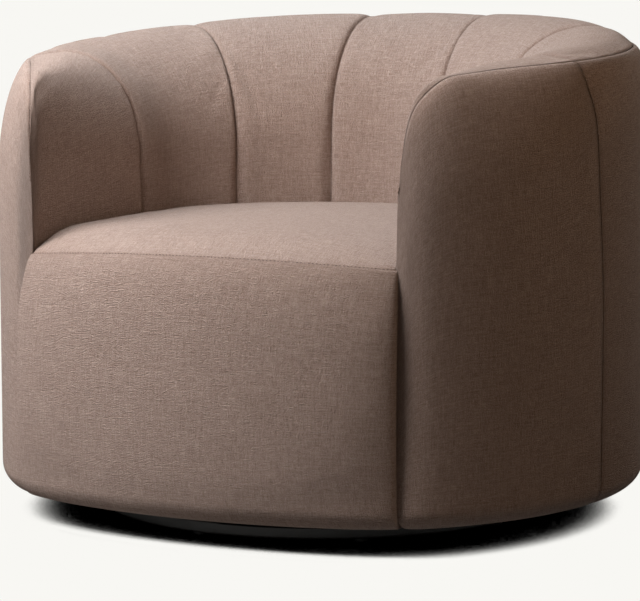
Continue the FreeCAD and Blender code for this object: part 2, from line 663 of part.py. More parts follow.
def makeSkins():
    side, nose, end = mm("sideSeamAngle"), mm("noseFromAngle"), mm("noseToAngle")
    flank = [side] + [blendOf(mm("armSeamAngle"), nose, share) for share in flankShares]
    front = [blendOf(nose, end, share) for share in noseShares]
    for label, sign in (("outer_panel_left", -1), ("outer_panel_right", 1)):
        wires = [skinStation(angle, sign) for angle in flank + front]
        part(label, Part.makeLoft(wires, True, False, False, 3))
    half = [side * share for share in backShares]
    wires = [skinStation(angle, 1) for angle in half] + [skinStation(0.0, 1)]
    wires += [skinStation(angle, -1) for angle in reversed(half)]
    part("outer_panel_back", Part.makeLoft(wires, True, False, False, 3))


def padSection(angle, outer, inner, rise, fall, dip):
    """Upright slice through an inner pad: over the crest and down to below the seat."""
    span = (inner - outer).Length
    along = (inner - outer).normalize()
    inset = seamInset(angle)
    seamZ = seamTop(angle, outer.y)
    square = (planPoint(angle, mm("railInnerInset")) - outer).normalize()
    backDepth = (mm("railInnerInset") + 3 * mm("softGap") - inset) / square.dot(along)
    gap = mm("padSeamGap")
    crest = span * mm("crestPlaceShare")
    face = span - dip
    top = seamZ + rise - dip
    foot = bottom + mm("foamBottom")
    back = min(backDepth, span * mm("padBackShare"))

    def at(depth, height):
        return outer + along * depth + vec(0, 0, height)

    def under(depth):
        place = at(depth, 0)
        return vec(place.x, place.y, padUnder(place.y))

    p = [at(gap, seamZ), at(gap + (crest - gap) * near, seamZ + (top - seamZ) * (1 - near)), at(crest, top),
         at(crest + (face - crest) * (1 - near), top - fall * near), at(face, top - fall),
         at(face, foot), at(back, foot), under(back), under(gap)]
    curves = [Part.Arc(p[0], p[1], p[2]), Part.Arc(p[2], p[3], p[4]), Part.LineSegment(p[4], p[5]),
              Part.LineSegment(p[5], p[6]), Part.LineSegment(p[6], p[7]), Part.LineSegment(p[7], p[8]),
              Part.LineSegment(p[8], p[0])]
    return Part.Wire([curve.toShape() for curve in curves])


def padUnder(y):
    """The pads lie on the sloping plane of the top rail's upper face."""
    lift = mm("boardThickness") / cos(atan(mm("seamRiseShare")))
    return railUnder(y) + lift


def blendOf(a, b, share):
    return a + (b - a) * share


puffShares = [(0.0, 1.0), (0.12, 0.35), (0.5, 0.0), (0.88, 0.35), (1.0, 1.0)]
armShares = [(0.0, 1.0), (0.08, 0.35), (0.3, 0.0), (0.6, 0.1), (0.85, 0.5), (1.0, 1.0)]


def crestAt(angle):
    """Rise of the crest over the top seam: less from the shoulder seams on to the arms."""
    shoulder = mm("shoulderSeamAngle")
    share = max(0, (abs(angle) - shoulder) / (mm("armSeamAngle") - shoulder))
    return blendOf(mm("crestRise"), mm("armSeamRise"), share)


def makeChannel(label, fromAngle, toAngle, fromFoot, toFoot):
    dip, fall = mm("channelDip"), mm("crestFallHeight")
    wires = []
    for share, draw in puffShares:
        foot = innerPoint(blendOf(fromFoot, toFoot, share), dip)
        angle = blendOf(fromAngle, toAngle, share)
        outer = planPoint(angle, seamInset(angle))
        wires.append(padSection(angle, outer, foot, crestAt(angle) + dip, fall, draw * dip))
    part(label, Part.makeLoft(wires, True, False, False, 3))


def makePads():
    c, b, a = mm("centreSeamAngle"), mm("shoulderSeamAngle"), mm("armSeamAngle")
    cf, bf, af = mm("centreFootAngle"), mm("shoulderFootAngle"), mm("armFootAngle")
    stops = [(-a, -af), (-b, -bf), (-c, -cf), (c, cf), (b, bf), (a, af)]
    for number, ((a0, f0), (a1, f1)) in enumerate(zip(stops, stops[1:]), 1):
        makeChannel("back_channel_%d" % number, a0, a1, f0, f1)


def makeArmPads():
    """From the arm seam forward the inner wall is nearly straight and the pad thins to the arm's front."""
    start, end, dip = mm("armSeamAngle"), mm("armEndAngle"), mm("channelDip")
    for label, side in (("arm_pad_left", -1), ("arm_pad_right", 1)):
        wires = []
        for share, draw in armShares:
            angle = blendOf(start, end, share)
            outer = planPoint(angle, seamInset(angle))
            inner = vec(blendOf(mm("innerHalfWidth"), mm("innerFrontHalfWidth"), share),
                        blendOf(-mm("armFootBehind"), -mm("armEndDepth"), share))
            inner.x -= dip
            rise = blendOf(mm("armSeamRise"), mm("armEndRise"), share) + dip * blendOf(1, draw, share)
            fall = blendOf(mm("crestFallHeight"), mm("armEndFall"), share)
            wires.append(padSection(angle, outer, inner, rise, fall, draw * dip))
        pad = Part.makeLoft(wires, True, False, False, 3)
        part(label, pad if side > 0 else pad.mirror(vec(0, 0), vec(1, 0)))


for step in (makePlinth, makeGlides, makeSwivel, makeBearing, makePivot, makeFrame, makePosts, makeSeatBox,
             makeStraps, makeSeat, makeFrontPanel, makeSkins, makePads, makeArmPads):
    step()
doc.recompute()

helpers = ("seat_top_block", "seat_top_dome")
kinds = ("PartDesign::Body", "Part::Feature", "Part::Box", "Part::MultiCommon")
solids = [o for o in doc.Objects if o.TypeId in kinds and o.Label not in helpers]
for o in doc.Objects:
    if "Invalid" in o.State or "Error" in o.State:
        raise RuntimeError("%s did not build: %s" % (o.Label, o.State))
for o in solids:
    if o.Shape.isNull() or not o.Shape.isValid():
        raise RuntimeError("%s has no valid shape" % o.Label)
os.makedirs("parts", exist_ok=True)
for o in solids:
    o.Shape.exportStep("parts/%s.step" % o.Label)
    print("%-22s solids %2d volume %12.0f" % (o.Label, len(o.Shape.Solids), o.Shape.Volume))
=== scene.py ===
import json
from math import cos, pi, radians, sin, sqrt

import bmesh
import bpy
import numpy as np
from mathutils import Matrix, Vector


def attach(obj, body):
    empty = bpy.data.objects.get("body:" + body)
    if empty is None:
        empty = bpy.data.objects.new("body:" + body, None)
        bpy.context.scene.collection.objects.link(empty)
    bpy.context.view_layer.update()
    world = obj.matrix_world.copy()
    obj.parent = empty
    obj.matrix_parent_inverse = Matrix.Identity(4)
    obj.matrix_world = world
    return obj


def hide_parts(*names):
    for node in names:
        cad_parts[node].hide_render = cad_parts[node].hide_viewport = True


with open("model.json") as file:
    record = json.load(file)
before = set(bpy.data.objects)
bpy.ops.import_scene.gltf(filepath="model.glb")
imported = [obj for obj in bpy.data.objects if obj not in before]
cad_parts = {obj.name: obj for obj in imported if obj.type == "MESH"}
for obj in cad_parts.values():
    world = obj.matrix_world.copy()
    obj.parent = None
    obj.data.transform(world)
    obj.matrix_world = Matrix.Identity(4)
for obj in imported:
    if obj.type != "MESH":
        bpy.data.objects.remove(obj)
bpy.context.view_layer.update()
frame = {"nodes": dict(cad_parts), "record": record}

# Swivel tub armchair. Metres, Z up, the front faces -Y, the floor is z = 0.
# Plan angles run from straight back, 0, round to straight front, 180; a minus sign is the left half.

print("stage: tub lines")

tub = {
    "floorGap": 0.045,
    "radius": 0.475,
    "cornerRadius": 0.410,
    "cornerAngle": 65.0,
    "backAngle": 12.3,
    "noseRadius": 0.090,
    "noseFrom": 136.0,
    "tipRadius": 0.036,
    "tipFrom": 158.0,
    "tipTo": 196.0,
    "seamHeight": 0.626,
    "seamSlope": 0.073,
    "insetAngles": (0.0, 92.0, 96.0, 100.0, 104.0, 108.0, 112.0, 116.0, 120.0, 124.0, 128.0, 132.0,
                    136.0),
    "insets": (0.022, 0.022, 0.0228, 0.0250, 0.0290, 0.0345, 0.0405, 0.0450, 0.0477, 0.0482, 0.0458, 0.0417,
               0.0369),
    "dropAngles": (110.0, 120.0, 128.0, 132.0, 134.0, 136.0),
    "drops": (0.0, 0.0006, 0.0030, 0.0045, 0.0070, 0.0120),
    "seamRowAngles": (112.0, 120.0, 128.0, 132.0, 136.0),
    "bendWidth": 9.0,
    "planStep": 0.1,
    "planEnd": 200.0,
    "planAnchors": (0.0, 40.0, 90.0, 110.0, 196.0),
    "innerHalfWidth": 0.274,
    "innerDepth": 0.245,
    "innerPower": 1.6,
    "innerEase": 0.25,
    "armFootBehind": 0.0599,
    "armFootAngle": 98.0,
}


def turned(angle):
    return np.array((sin(radians(angle)), cos(radians(angle)), 0.0))


def tubArcs():
    reach = tub["radius"] - tub["cornerRadius"]
    corner = turned(tub["cornerAngle"]) * reach
    backRadius = tub["cornerRadius"] + corner[0] / sin(radians(tub["backAngle"]))
    behind = cos(radians(tub["backAngle"])) * (backRadius - tub["cornerRadius"])
    back = np.array((0.0, corner[1] - behind, 0.0))
    nose = turned(tub["noseFrom"]) * (tub["radius"] - tub["noseRadius"])
    tip = nose + turned(tub["tipFrom"]) * (tub["noseRadius"] - tub["tipRadius"])
    return [
        (0.0, back, backRadius),
        (tub["backAngle"], corner, tub["cornerRadius"]),
        (tub["cornerAngle"], np.zeros(3), tub["radius"]),
        (tub["noseFrom"], nose, tub["noseRadius"]),
        (tub["tipFrom"], tip, tub["tipRadius"]),
    ]


def planCurve():
    # the arcs with their radii eased into each other, so that no crease shows where they meet
    arcs = tubArcs()
    step = tub["planStep"]
    angles = np.arange(0.0, tub["planEnd"], step)
    radii = np.full(len(angles), arcs[0][2])
    exact = np.array([arcs[0][1] + turned(a) * arcs[0][2] for a in angles])
    for (start, centre, radius), before in zip(arcs[1:], arcs):
        t = np.clip((angles - start) / (2 * tub["bendWidth"]) + 0.5, 0.0, 1.0)
        radii += (radius - before[2]) * (3 * t**2 - 2 * t**3)
        exact = np.where((angles >= start)[:, None], [centre + turned(a) * radius for a in angles], exact)
    lines = np.array([(cos(radians(a)), -sin(radians(a)), 0.0) for a in angles])
    steps = (lines * radii[:, None])[:-1] * radians(step)
    curve = exact[0] + np.concatenate((np.zeros((1, 3)), np.cumsum(steps, axis=0)))
    anchors = [round(angle / step) for angle in tub["planAnchors"]]
    drift = [np.interp(angles, angles[anchors], (exact - curve)[anchors, k]) for k in range(3)]
    return angles, curve + np.stack(drift, axis=1)


planAngles, planPlaces = planCurve()


def planPoint(angle, inset=0.0):
    place = np.array([np.interp(angle, planAngles, planPlaces[:, k]) for k in range(3)])
    return place - turned(angle) * inset


def smoothTable(x, xs, ys):
    # cubic through the table's rows, each row's slope taken from its neighbours
    ys = [np.asarray(y, float) for y in ys]
    x = min(max(x, xs[0]), xs[-1])
    k = max(0, min(len(xs) - 2, int(np.searchsorted(xs, x, side="right")) - 1))

    def slope(i):
        low, high = max(i - 1, 0), min(i + 1, len(xs) - 1)
        return (ys[high] - ys[low]) / (xs[high] - xs[low])

    width = xs[k + 1] - xs[k]
    t = (x - xs[k]) / width
    a = (2 * t**3 - 3 * t**2 + 1) * ys[k] + (t**3 - 2 * t**2 + t) * width * slope(k)
    return a + (3 * t**2 - 2 * t**3) * ys[k + 1] + (t**3 - t**2) * width * slope(k + 1)


# the top seam round an arm's front, past the plan's long arc: angle and place
armFrontSeam = {
    145.0: (0.2985, -0.3305, 0.6165),
    154.0: (0.2915, -0.3430, 0.5990),
    163.0: (0.2870, -0.3510, 0.5765),
    172.0: (0.2845, -0.3560, 0.5500),
    182.0: (0.2825, -0.3595, 0.5250),
    196.0: (0.2803, -0.3613, 0.4950),
}


def seamBehind(angle):
    place = planPoint(angle, float(smoothTable(angle, tub["insetAngles"], tub["insets"])))
    drop = float(np.interp(angle, tub["dropAngles"], tub["drops"]))
    place[2] = tub["floorGap"] + tub["seamHeight"] + tub["seamSlope"] * place[1] - drop
    return place


seamRows = list(tub["seamRowAngles"]) + list(armFrontSeam)
seamPlaces = [seamBehind(a) for a in tub["seamRowAngles"]] + [np.array(p) for p in armFrontSeam.values()]


def topSeam(angle):
    if angle < seamRows[1]:
        return seamBehind(angle)
    return smoothTable(angle, seamRows, seamPlaces)


def innerPoint(foot):
    # a flattened half round: its power would leave a crease at the middle, which the ease rounds off
    power, ease = tub["innerPower"], tub["innerEase"]
    across = sin(radians(min(foot, 90.0))) ** (2 / power)
    used, whole = ((part**2 + ease**2) ** (power / 2) - ease**power for part in (across, 1.0))
    y = tub["innerDepth"] * max(1 - used / whole, 0.0) ** (1 / power)
    if foot > 90.0:
        y = -tub["armFootBehind"] * (foot - 90.0) / (tub["armFootAngle"] - 90.0)
    return np.array((tub["innerHalfWidth"] * across, y, 0.0))


def leftRight(point, side):
    return np.array((point[0] * side, point[1], point[2]))


def blend(a, b, share):
    return a + (b - a) * share


def linked(name, data):
    made = bpy.data.objects.new(name, data)
    bpy.context.collection.objects.link(made)
    return made


# Helpers for padded covers: a cover is a grid of points, closed behind by a second sheet


def spacing(count, gather):
    # shares from 0 to 1, gathered towards both ends
    t = np.linspace(0.0, 1.0, count)
    return t * (1 - gather) + (1 - np.cos(pi * t)) / 2 * gather


def along(points):
    steps = np.linalg.norm(np.diff(points, axis=0), axis=1)
    return np.concatenate(([0.0], np.cumsum(steps)))


def respaced(points, shares):
    points = np.asarray(points)
    length = along(points)
    return np.stack([np.interp(shares * length[-1], length, points[:, k]) for k in range(3)], axis=1)


def gridNormals(grid):
    normals = np.cross(np.gradient(grid, axis=0), np.gradient(grid, axis=1))
    return normals / np.maximum(np.linalg.norm(normals, axis=2, keepdims=True), 1e-9)


def gridLengths(grid, axis):
    # distance along each row of the grid, from its first point
    steps = np.linalg.norm(np.diff(grid, axis=axis), axis=2)
    return np.insert(np.cumsum(steps, axis=axis), 0, 0.0, axis=axis)


def rolled(distance, radius):
    # 1 at a seam, falling to 0 over a quarter circle
    x = 1 - np.clip(distance / radius, 0.0, 1.0)
    return 1 - np.sqrt(1 - x**2)


def eased(distance, radius):
    # 0 at a seam, rising to 1 in a slow S
    return 0.5 - 0.5 * np.cos(pi * np.clip(distance / radius, 0.0, 1.0))


sewing = {
    "tuck": 0.0030,
    "tuckRadius": 0.007,
    "plain": (0.006, 0.5),
    "thinning": 0.045,
    "thinnest": 0.06,
    "shadeWidth": 0.0028,
    "shadeLeast": 0.35,
    "panelShadeWidth": 0.004,
    "crestWear": 0.022,
}


# the shown face of each cover, whose borders the stitches follow
rims = {}


def edgeDistances(grid):
    across, down = gridLengths(grid, 0), gridLengths(grid, 1)
    return {"start": across, "end": across[-1:, :] - across, "top": down, "foot": down[:, -1:] - down}


def closedCover(name, shown, inward, uv, tone):
    # shown: the outside grid; inward: the same grid moved in, which closes the cover behind
    n, m = shown.shape[:2]
    points = np.concatenate((shown.reshape(-1, 3), inward.reshape(-1, 3)))
    back = n * m
    number = np.arange(n * m).reshape(n, m)
    faces = []
    for i in range(n - 1):
        for j in range(m - 1):
            a, b, c, d = number[i, j], number[i + 1, j], number[i + 1, j + 1], number[i, j + 1]
            faces.append((a, b, c, d))
            faces.append((d + back, c + back, b + back, a + back))
    rim = list(number[:, 0]) + list(number[-1, 1:]) + list(number[-2::-1, -1]) + list(number[0, -2:0:-1])
    for a, b in zip(rim, rim[1:] + rim[:1]):
        faces.append((b, a, a + back, b + back))
    mesh = bpy.data.meshes.new(name)
    mesh.from_pydata(points.tolist(), [], [tuple(int(k) for k in f) for f in faces])
    work = bmesh.new()
    work.from_mesh(mesh)
    bmesh.ops.recalc_face_normals(work, faces=work.faces)
    work.to_mesh(mesh)
    work.free()
    layer = mesh.uv_layers.new(name="cloth")
    both = np.concatenate((uv.reshape(-1, 2), uv.reshape(-1, 2)))
    corners = np.empty(len(mesh.loops), int)
    mesh.loops.foreach_get("vertex_index", corners)
    layer.data.foreach_set("uv", both[corners].astype(np.float32).ravel())
    for key, values in tone.items():
        attribute = mesh.attributes.new(key, "FLOAT", "POINT")
        flat = np.concatenate((values.ravel(), values.ravel()))
        attribute.data.foreach_set("value", flat.astype(np.float32))
    mesh.polygons.foreach_set("use_smooth", [True] * len(mesh.polygons))
    piece = linked(name, mesh)
    held = piece.vertex_groups.new(name="held")
    held.add([int(k) for k in list(range(back, 2 * back)) + rim], 1.0, "REPLACE")
    return piece


def clothUv(grid):
    # lengths along the cloth, so that the weave keeps its real size
    across, down = gridLengths(grid, 0), gridLengths(grid, 1)
    middle = grid.shape[0] // 2
    u = across - across[middle : middle + 1, :]
    v = np.repeat(down[middle : middle + 1, :], grid.shape[0], axis=0)
    return np.stack((u, v), axis=2)


# painted shade along a seam: darkest at the stitch line, and stronger where the seam is tucked deeper
def shadeOf(distance, tuck):
    return np.exp(-distance / sewing["shadeWidth"]) * min(1.0, sewing["shadeLeast"] + tuck)


def paddedCover(name, grid, edges, puff, crown, thickness, flip, wornAt=None):
    # edges: sewn side -> width of the pad's shoulder and share of the tuck there
    # puff lifts the pad, crown adds to its middle
    if flip:
        other = {"start": "end", "end": "start"}
        grid = grid[::-1]
        edges = {other.get(key, key): sewn for key, sewn in edges.items()}
    normals = gridNormals(grid)
    distances = edgeDistances(grid)
    near = np.minimum(distances["start"], distances["end"])
    half = np.maximum((distances["start"] + distances["end"]) / 2, 1e-6)
    lift = puff + crown * (1 - (1 - np.clip(near / half, 0, 1)) ** 2)
    seamNear = np.zeros(grid.shape[:2])
    sink = np.zeros(grid.shape[:2])
    thin = np.ones(grid.shape[:2])
    for key, (radius, tuck) in edges.items():
        shoulder = eased(distances[key], radius) if tuck < 1.0 else 1 - rolled(distances[key], radius)
        lift = lift * shoulder
        seamNear = np.maximum(seamNear, shadeOf(distances[key], tuck))
        sink = np.maximum(sink, tuck * sewing["tuck"] * rolled(distances[key], sewing["tuckRadius"]))
        thin = np.minimum(thin, sewing["thinnest"] + distances[key] / sewing["thinning"])
    shown = grid + normals * (lift - sink)[..., None]
    rims[name] = shown
    inward = grid - normals * (thickness * thin)[..., None]
    worn = np.zeros(grid.shape[:2]) if wornAt is None else wornAt
    if flip:
        worn = worn[::-1]
    return closedCover(name, shown, inward, clothUv(grid), {"seamNear": seamNear, "worn": worn})


# Inside: five back channels and two arm pads

channels = {
    "seamAngles": (-104.5, -53.9, -7.8, 11.2, 53.9, 104.5),
    "footAngles": (-98.0, -54.0, -24.2, 24.2, 54.0, 98.0),
    "profileAngles": (0.0, 9.2, 30.0, 54.0, 80.0, 104.5),
    "rises": (0.0198, 0.0196, 0.0180, 0.0160, 0.0120, 0.0068),
    "falls": (0.192, 0.192, 0.192, 0.190, 0.175, 0.155),
    "crestShares": (0.25, 0.25, 0.25, 0.25, 0.27, 0.30),
    "fallPower": 2.08,
    "lean": 0.028,
    "foot": 0.352,
    "seamShoulder": 0.026,
    "topShoulder": 0.060,
    "topTuck": 0.3,
    "puffs": (0.0034, 0.0048, 0.0048, 0.0048, 0.0034),
    "crown": 0.0012,
    "thickness": 0.012,
    "columns": 58,
    "rows": 118,
    "gather": 0.45,
    "crestPoints": 40,
    "wallPoints": 120,
    "footPoints": 30,
    "evenShare": 0.6,
    "crestPower": 1.7,
}


def profileAt(angle, table):
    return [float(smoothTable(angle, table["profileAngles"], table[key]))
            for key in ("rises", "falls", "crestShares")]


def wallSection(outer, inner, rise, fall, crest):
    # from the top seam over the crest and down the inner wall
    reach = inner - outer
    reach[2] = 0.0
    power = 2 / channels["fallPower"]
    top = outer[2] + rise
    points = []
    for a in np.linspace(0, pi / 2, channels["crestPoints"]):
        points.append(outer + reach * crest * (1 - cos(a)) + np.array((0, 0, rise * sin(a))))
    for a in np.linspace(0, pi / 2, channels["wallPoints"])[1:]:
        place = outer + reach * (crest + (1 - crest) * sin(a) ** power)
        place[2] = top - fall * (1 - max(cos(a), 0.0) ** power)
        points.append(place)
    last = points[-1]
    drop = last[2] - channels["foot"]
    inwards = reach / max(np.linalg.norm(reach), 1e-6)
    for share in np.linspace(0, 1, channels["footPoints"])[1:]:
        points.append(last + inwards * channels["lean"] * drop * share - np.array((0, 0, drop * share)))
    t = np.linspace(0.0, 1.0, channels["rows"])
    even = channels["evenShare"]
    return respaced(points, t * even + t ** channels["crestPower"] * (1 - even))


def channelGrid(fromAngle, toAngle, fromFoot, toFoot, columns):
    sections = []
    for share in spacing(columns, channels["gather"]):
        angle, foot = blend(fromAngle, toAngle, share), blend(fromFoot, toFoot, share)
        outer = leftRight(topSeam(abs(angle)), -1 if angle < 0 else 1)
        inner = leftRight(innerPoint(abs(foot)), -1 if foot < 0 else 1)
        sections.append(wallSection(outer, inner, *profileAt(abs(angle), channels)))
    return np.array(sections)


def crestWear(grid):
    height = grid[..., 2]
    top = height.max(axis=1, keepdims=True)
    return np.exp(-((height - top) / sewing["crestWear"]) ** 2)


pads = {}


def makeChannels():
    angles, feet = channels["seamAngles"], channels["footAngles"]
    for k in range(5):
        grid = channelGrid(angles[k], angles[k + 1], feet[k], feet[k + 1], channels["columns"])
        shoulder = (channels["seamShoulder"], 1.0)
        edges = {"start": shoulder, "end": shoulder, "top": (channels["topShoulder"], channels["topTuck"])}
        name = "back_channel_cover_%d" % (k + 1)
        piece = paddedCover(name, grid, edges, channels["puffs"][k], channels["crown"],
                            channels["thickness"], True, crestWear(grid))
        pads[name] = (piece, "back_channel_%d" % (k + 1))


armPads = {
    "toAngle": 196.0,
    "profileAngles": (104.5, 114.0, 122.0, 130.0, 137.0, 154.0, 172.0, 196.0),
    "wallX": (0.2740, 0.2758, 0.2776, 0.2794, 0.2806, 0.2815, 0.2818, 0.2808),
    "wallY": (-0.0599, -0.1300, -0.2030, -0.2760, -0.3285, -0.3470, -0.3560, -0.3608),
    "rises": (0.0068, 0.0062, 0.0040, 0.0012, 0.0002, 0.0002, 0.0002, 0.0002),
    "falls": (0.155, 0.148, 0.136, 0.118, 0.097, 0.050, 0.030, 0.020),
    "crestShares": (0.30, 0.29, 0.27, 0.23, 0.17, 0.10, 0.08, 0.06),
    "columns": 78,
    "gather": 0.35,
    "gatherPower": 1.25,
    "frontShoulder": 0.150,
    "puff": 0.0035,
    "crown": 0.0010,
}


def makeArmPads():
    a = armPads
    for side, label in ((-1, "left"), (1, "right")):
        sections = []
        for share in spacing(a["columns"], a["gather"]):
            angle = blend(a["profileAngles"][0], a["toAngle"], share ** a["gatherPower"])
            place = [smoothTable(angle, a["profileAngles"], a[key]) for key in ("wallX", "wallY")]
            inner = np.array(place + [0.0])
            outer, inner = leftRight(topSeam(angle), side), leftRight(inner, side)
            sections.append(wallSection(outer, inner, *profileAt(angle, a)))
        grid = np.array(sections)
        edges = {"start": (channels["seamShoulder"], 1.0), "end": (a["frontShoulder"], 0.0),
                 "top": (channels["topShoulder"], 0.0)}
        name = "arm_pad_cover_" + label
        piece = paddedCover(name, grid, edges, a["puff"], a["crown"],
                            channels["thickness"], side > 0, crestWear(grid))
        pads[name] = (piece, "arm_pad_" + label)


# Outside: three panels with a turned lower edge and a long rounding up to the top seam

outside = {
    "lowerRound": 0.028,
    "turnedUnder": 0.022,
    "roundAngles": (0.0, 40.0, 70.0, 90.0, 102.0, 115.0, 136.0, 154.0, 172.0, 196.0),
    "roundHeights": (0.060, 0.060, 0.062, 0.080, 0.112, 0.150, 0.155, 0.150, 0.145, 0.135),
    "roundPower": 1.88,
    "seamHeights": (0.0, 0.290, 0.429, 0.545, 0.586, 0.640),
    "seamAngles": (100.0, 100.0, 101.4, 102.8, 104.0, 104.8),
    "levelAngle": 103.0,
    "underRows": 3,
    "cornerRows": 9,
    "wallRows": 44,
    "topRows": 34,
    "thickness": 0.010,
    "armColumns": 96,
    "armGather": 0.3,
    "armPower": 0.9,
    "backColumns": 120,
    "backGather": 0.15,
}


def outsideRows():
    rows = []
    for zone in ("under", "corner", "wall", "top"):
        shares = np.linspace(0, 1, outside[zone + "Rows"], endpoint=zone == "top")
        rows += [(zone, t) for t in shares]
    return rows


def outsidePoint(angle, row):
    o = outside
    zone, t = row
    side = -1 if angle < 0 else 1
    angle = abs(angle)
    wall = planPoint(angle)
    inwards = -turned(angle)
    low = tub["floorGap"]
    seam = topSeam(angle)
    start = seam[2] - float(smoothTable(angle, o["roundAngles"], o["roundHeights"]))
    turn = o["lowerRound"]
    if zone == "under":
        place = wall + inwards * (turn + o["turnedUnder"] * (1 - t))
        place[2] = low
    elif zone == "corner":
        place = wall + inwards * turn * (1 - sin(t * pi / 2))
        place[2] = low + turn * (1 - cos(t * pi / 2))
    elif zone == "wall":
        place = wall.copy()
        place[2] = blend(low + turn, start, t)
    else:
        power = 2 / o["roundPower"]
        a = t * pi / 2
        place = wall + (seam - wall) * (1 - max(cos(a), 0.0) ** power)
        place[2] = start + (seam[2] - start) * sin(a) ** power
    return leftRight(place, side)


def sideSeamAngle(row):
    height = outsidePoint(outside["levelAngle"], row)[2] - tub["floorGap"]
    return float(smoothTable(max(height, 0.0), outside["seamHeights"], outside["seamAngles"]))


def makeOutside():
    o = outside
    rows = outsideRows()
    seamAt = [sideSeamAngle(row) for row in rows]
    sewn = sewing["plain"]
    for side, label in ((-1, "left"), (1, "right")):
        shares = spacing(o["armColumns"], o["armGather"]) ** o["armPower"]
        grid = np.array([[outsidePoint(side * blend(s, tub["tipTo"], share), row)
                          for row, s in zip(rows, seamAt)] for share in shares])
        name = "outer_cover_" + label
        edges = {"start": sewn, "end": (sewn[0], 0.0), "foot": sewn}
        piece = paddedCover(name, grid, edges, 0.0, 0.0, o["thickness"], side > 0)
        pads[name] = (piece, "outer_panel_" + label)
    shares = spacing(o["backColumns"], o["backGather"])
    grid = np.array([[outsidePoint(blend(-s, s, share), row) for row, s in zip(rows, seamAt)]
                     for share in shares])
    edges = {"start": sewn, "end": sewn, "foot": sewn}
    piece = paddedCover("outer_cover_back", grid, edges, 0.0, 0.0, o["thickness"], True)
    pads["outer_cover_back"] = (piece, "outer_panel_back")


# Tight seat: a crowned top and a bowed front

seat = {
    "crownTop": 0.4380,
    "crownAcross": 4.300,
    "crownBehind": 3.500,
    "crownBefore": 7.000,
    "frontDepth": 0.418,
    "frontBow": 0.052,
    "halfWidth": 0.281,
    "seamMiddle": 0.4055,
    "seamFall": 0.0125,
    "fitGap": 0.0105,
    "cornerGap": 0.0025,
    "frontRoll": 0.130,
    "frontPower": 2.6,
    "sideRoll": 0.014,
    "sideDepth": 0.002,
    "wrapAngle": 50.0,
    "outlinePoints": 60,
    "frontPoints": 90,
    "across": 84,
    "deep": 84,
    "gather": 0.5,
    "seamTuckShare": 0.5,
    "closingGap": 0.004,
    "closingShare": 0.985,
    "wearFromSeam": 0.035,
    "wearWidth": 0.03,
}


frontPanel = {
    "endGap": 0.0010,
    "cornerWidth": 0.090,
    "cornerDepth": 0.014,
    "cornerTop": 0.35,
    "cornerPower": 2.2,
    "leftBulge": 0.0225,
    "rightBulge": 0.0040,
    "tuckedIn": 0.003,
    "turnedIn": 0.014,
    "bulge": 0.025,
    "bulgeShares": (0.0, 0.08, 0.2, 0.45, 0.72, 0.84, 0.92, 0.965, 0.99, 1.0),
    "bulges": (0.72, 0.82, 0.93, 1.0, 0.88, 0.71, 0.50, 0.30, 0.12, 0.0),
    "lowerRound": 0.028,
    "roundShare": 0.2,
    "flatPoints": 60,
    "cornerPoints": 90,
    "endPoints": 12,
    "columns": 130,
    "gather": 0.55,
    "rows": 84,
    "rowGather": 0.10,
    "thickness": 0.012,
    "closingShare": 0.97,
    "wearWidth": 0.02,
    "wear": 0.7,
}


def frontLine(x):
    return -(seat["frontDepth"] - seat["frontBow"] * (x / seat["halfWidth"]) ** 2)


def frontEdge(x):
    # the seat seam in plan: the bow, and the same corners as the front panel's top
    f = frontPanel
    flat = seat["halfWidth"] - f["cornerWidth"]
    share = np.clip((np.abs(x) - flat) / (seat["halfWidth"] - f["endGap"] - flat), 0.0, 1.0)
    corner = f["cornerDepth"] * f["cornerTop"]
    return frontLine(x) + corner * (1 - np.sqrt(1 - share ** f["cornerPower"]))


def seatSeamHeight(x):
    return seat["seamMiddle"] - seat["seamFall"] * (x / seat["halfWidth"]) ** 2


def seatSides():
    gap = seat["fitGap"]
    end = seat["halfWidth"] - seat["cornerGap"]
    turn = np.sin(np.linspace(0.0, 1.0, seat["frontPoints"]) * pi / 2)
    places = np.concatenate((-end * turn[:0:-1], end * turn))
    front = [np.array((x, float(frontEdge(x)), 0.0)) for x in places]
    feet = np.linspace(tub["armFootAngle"], seat["wrapAngle"], seat["outlinePoints"])
    scale = (tub["innerHalfWidth"] - gap) / tub["innerHalfWidth"]
    right = [front[-1]] + [innerPoint(f) * scale for f in feet]
    middle = np.linspace(seat["wrapAngle"], 0.0, seat["outlinePoints"])
    half = [innerPoint(f) * scale for f in middle]
    back = [leftRight(p, -1) for p in half] + half[-2::-1]
    left = [leftRight(p, -1) for p in right]
    return front, right, back, left


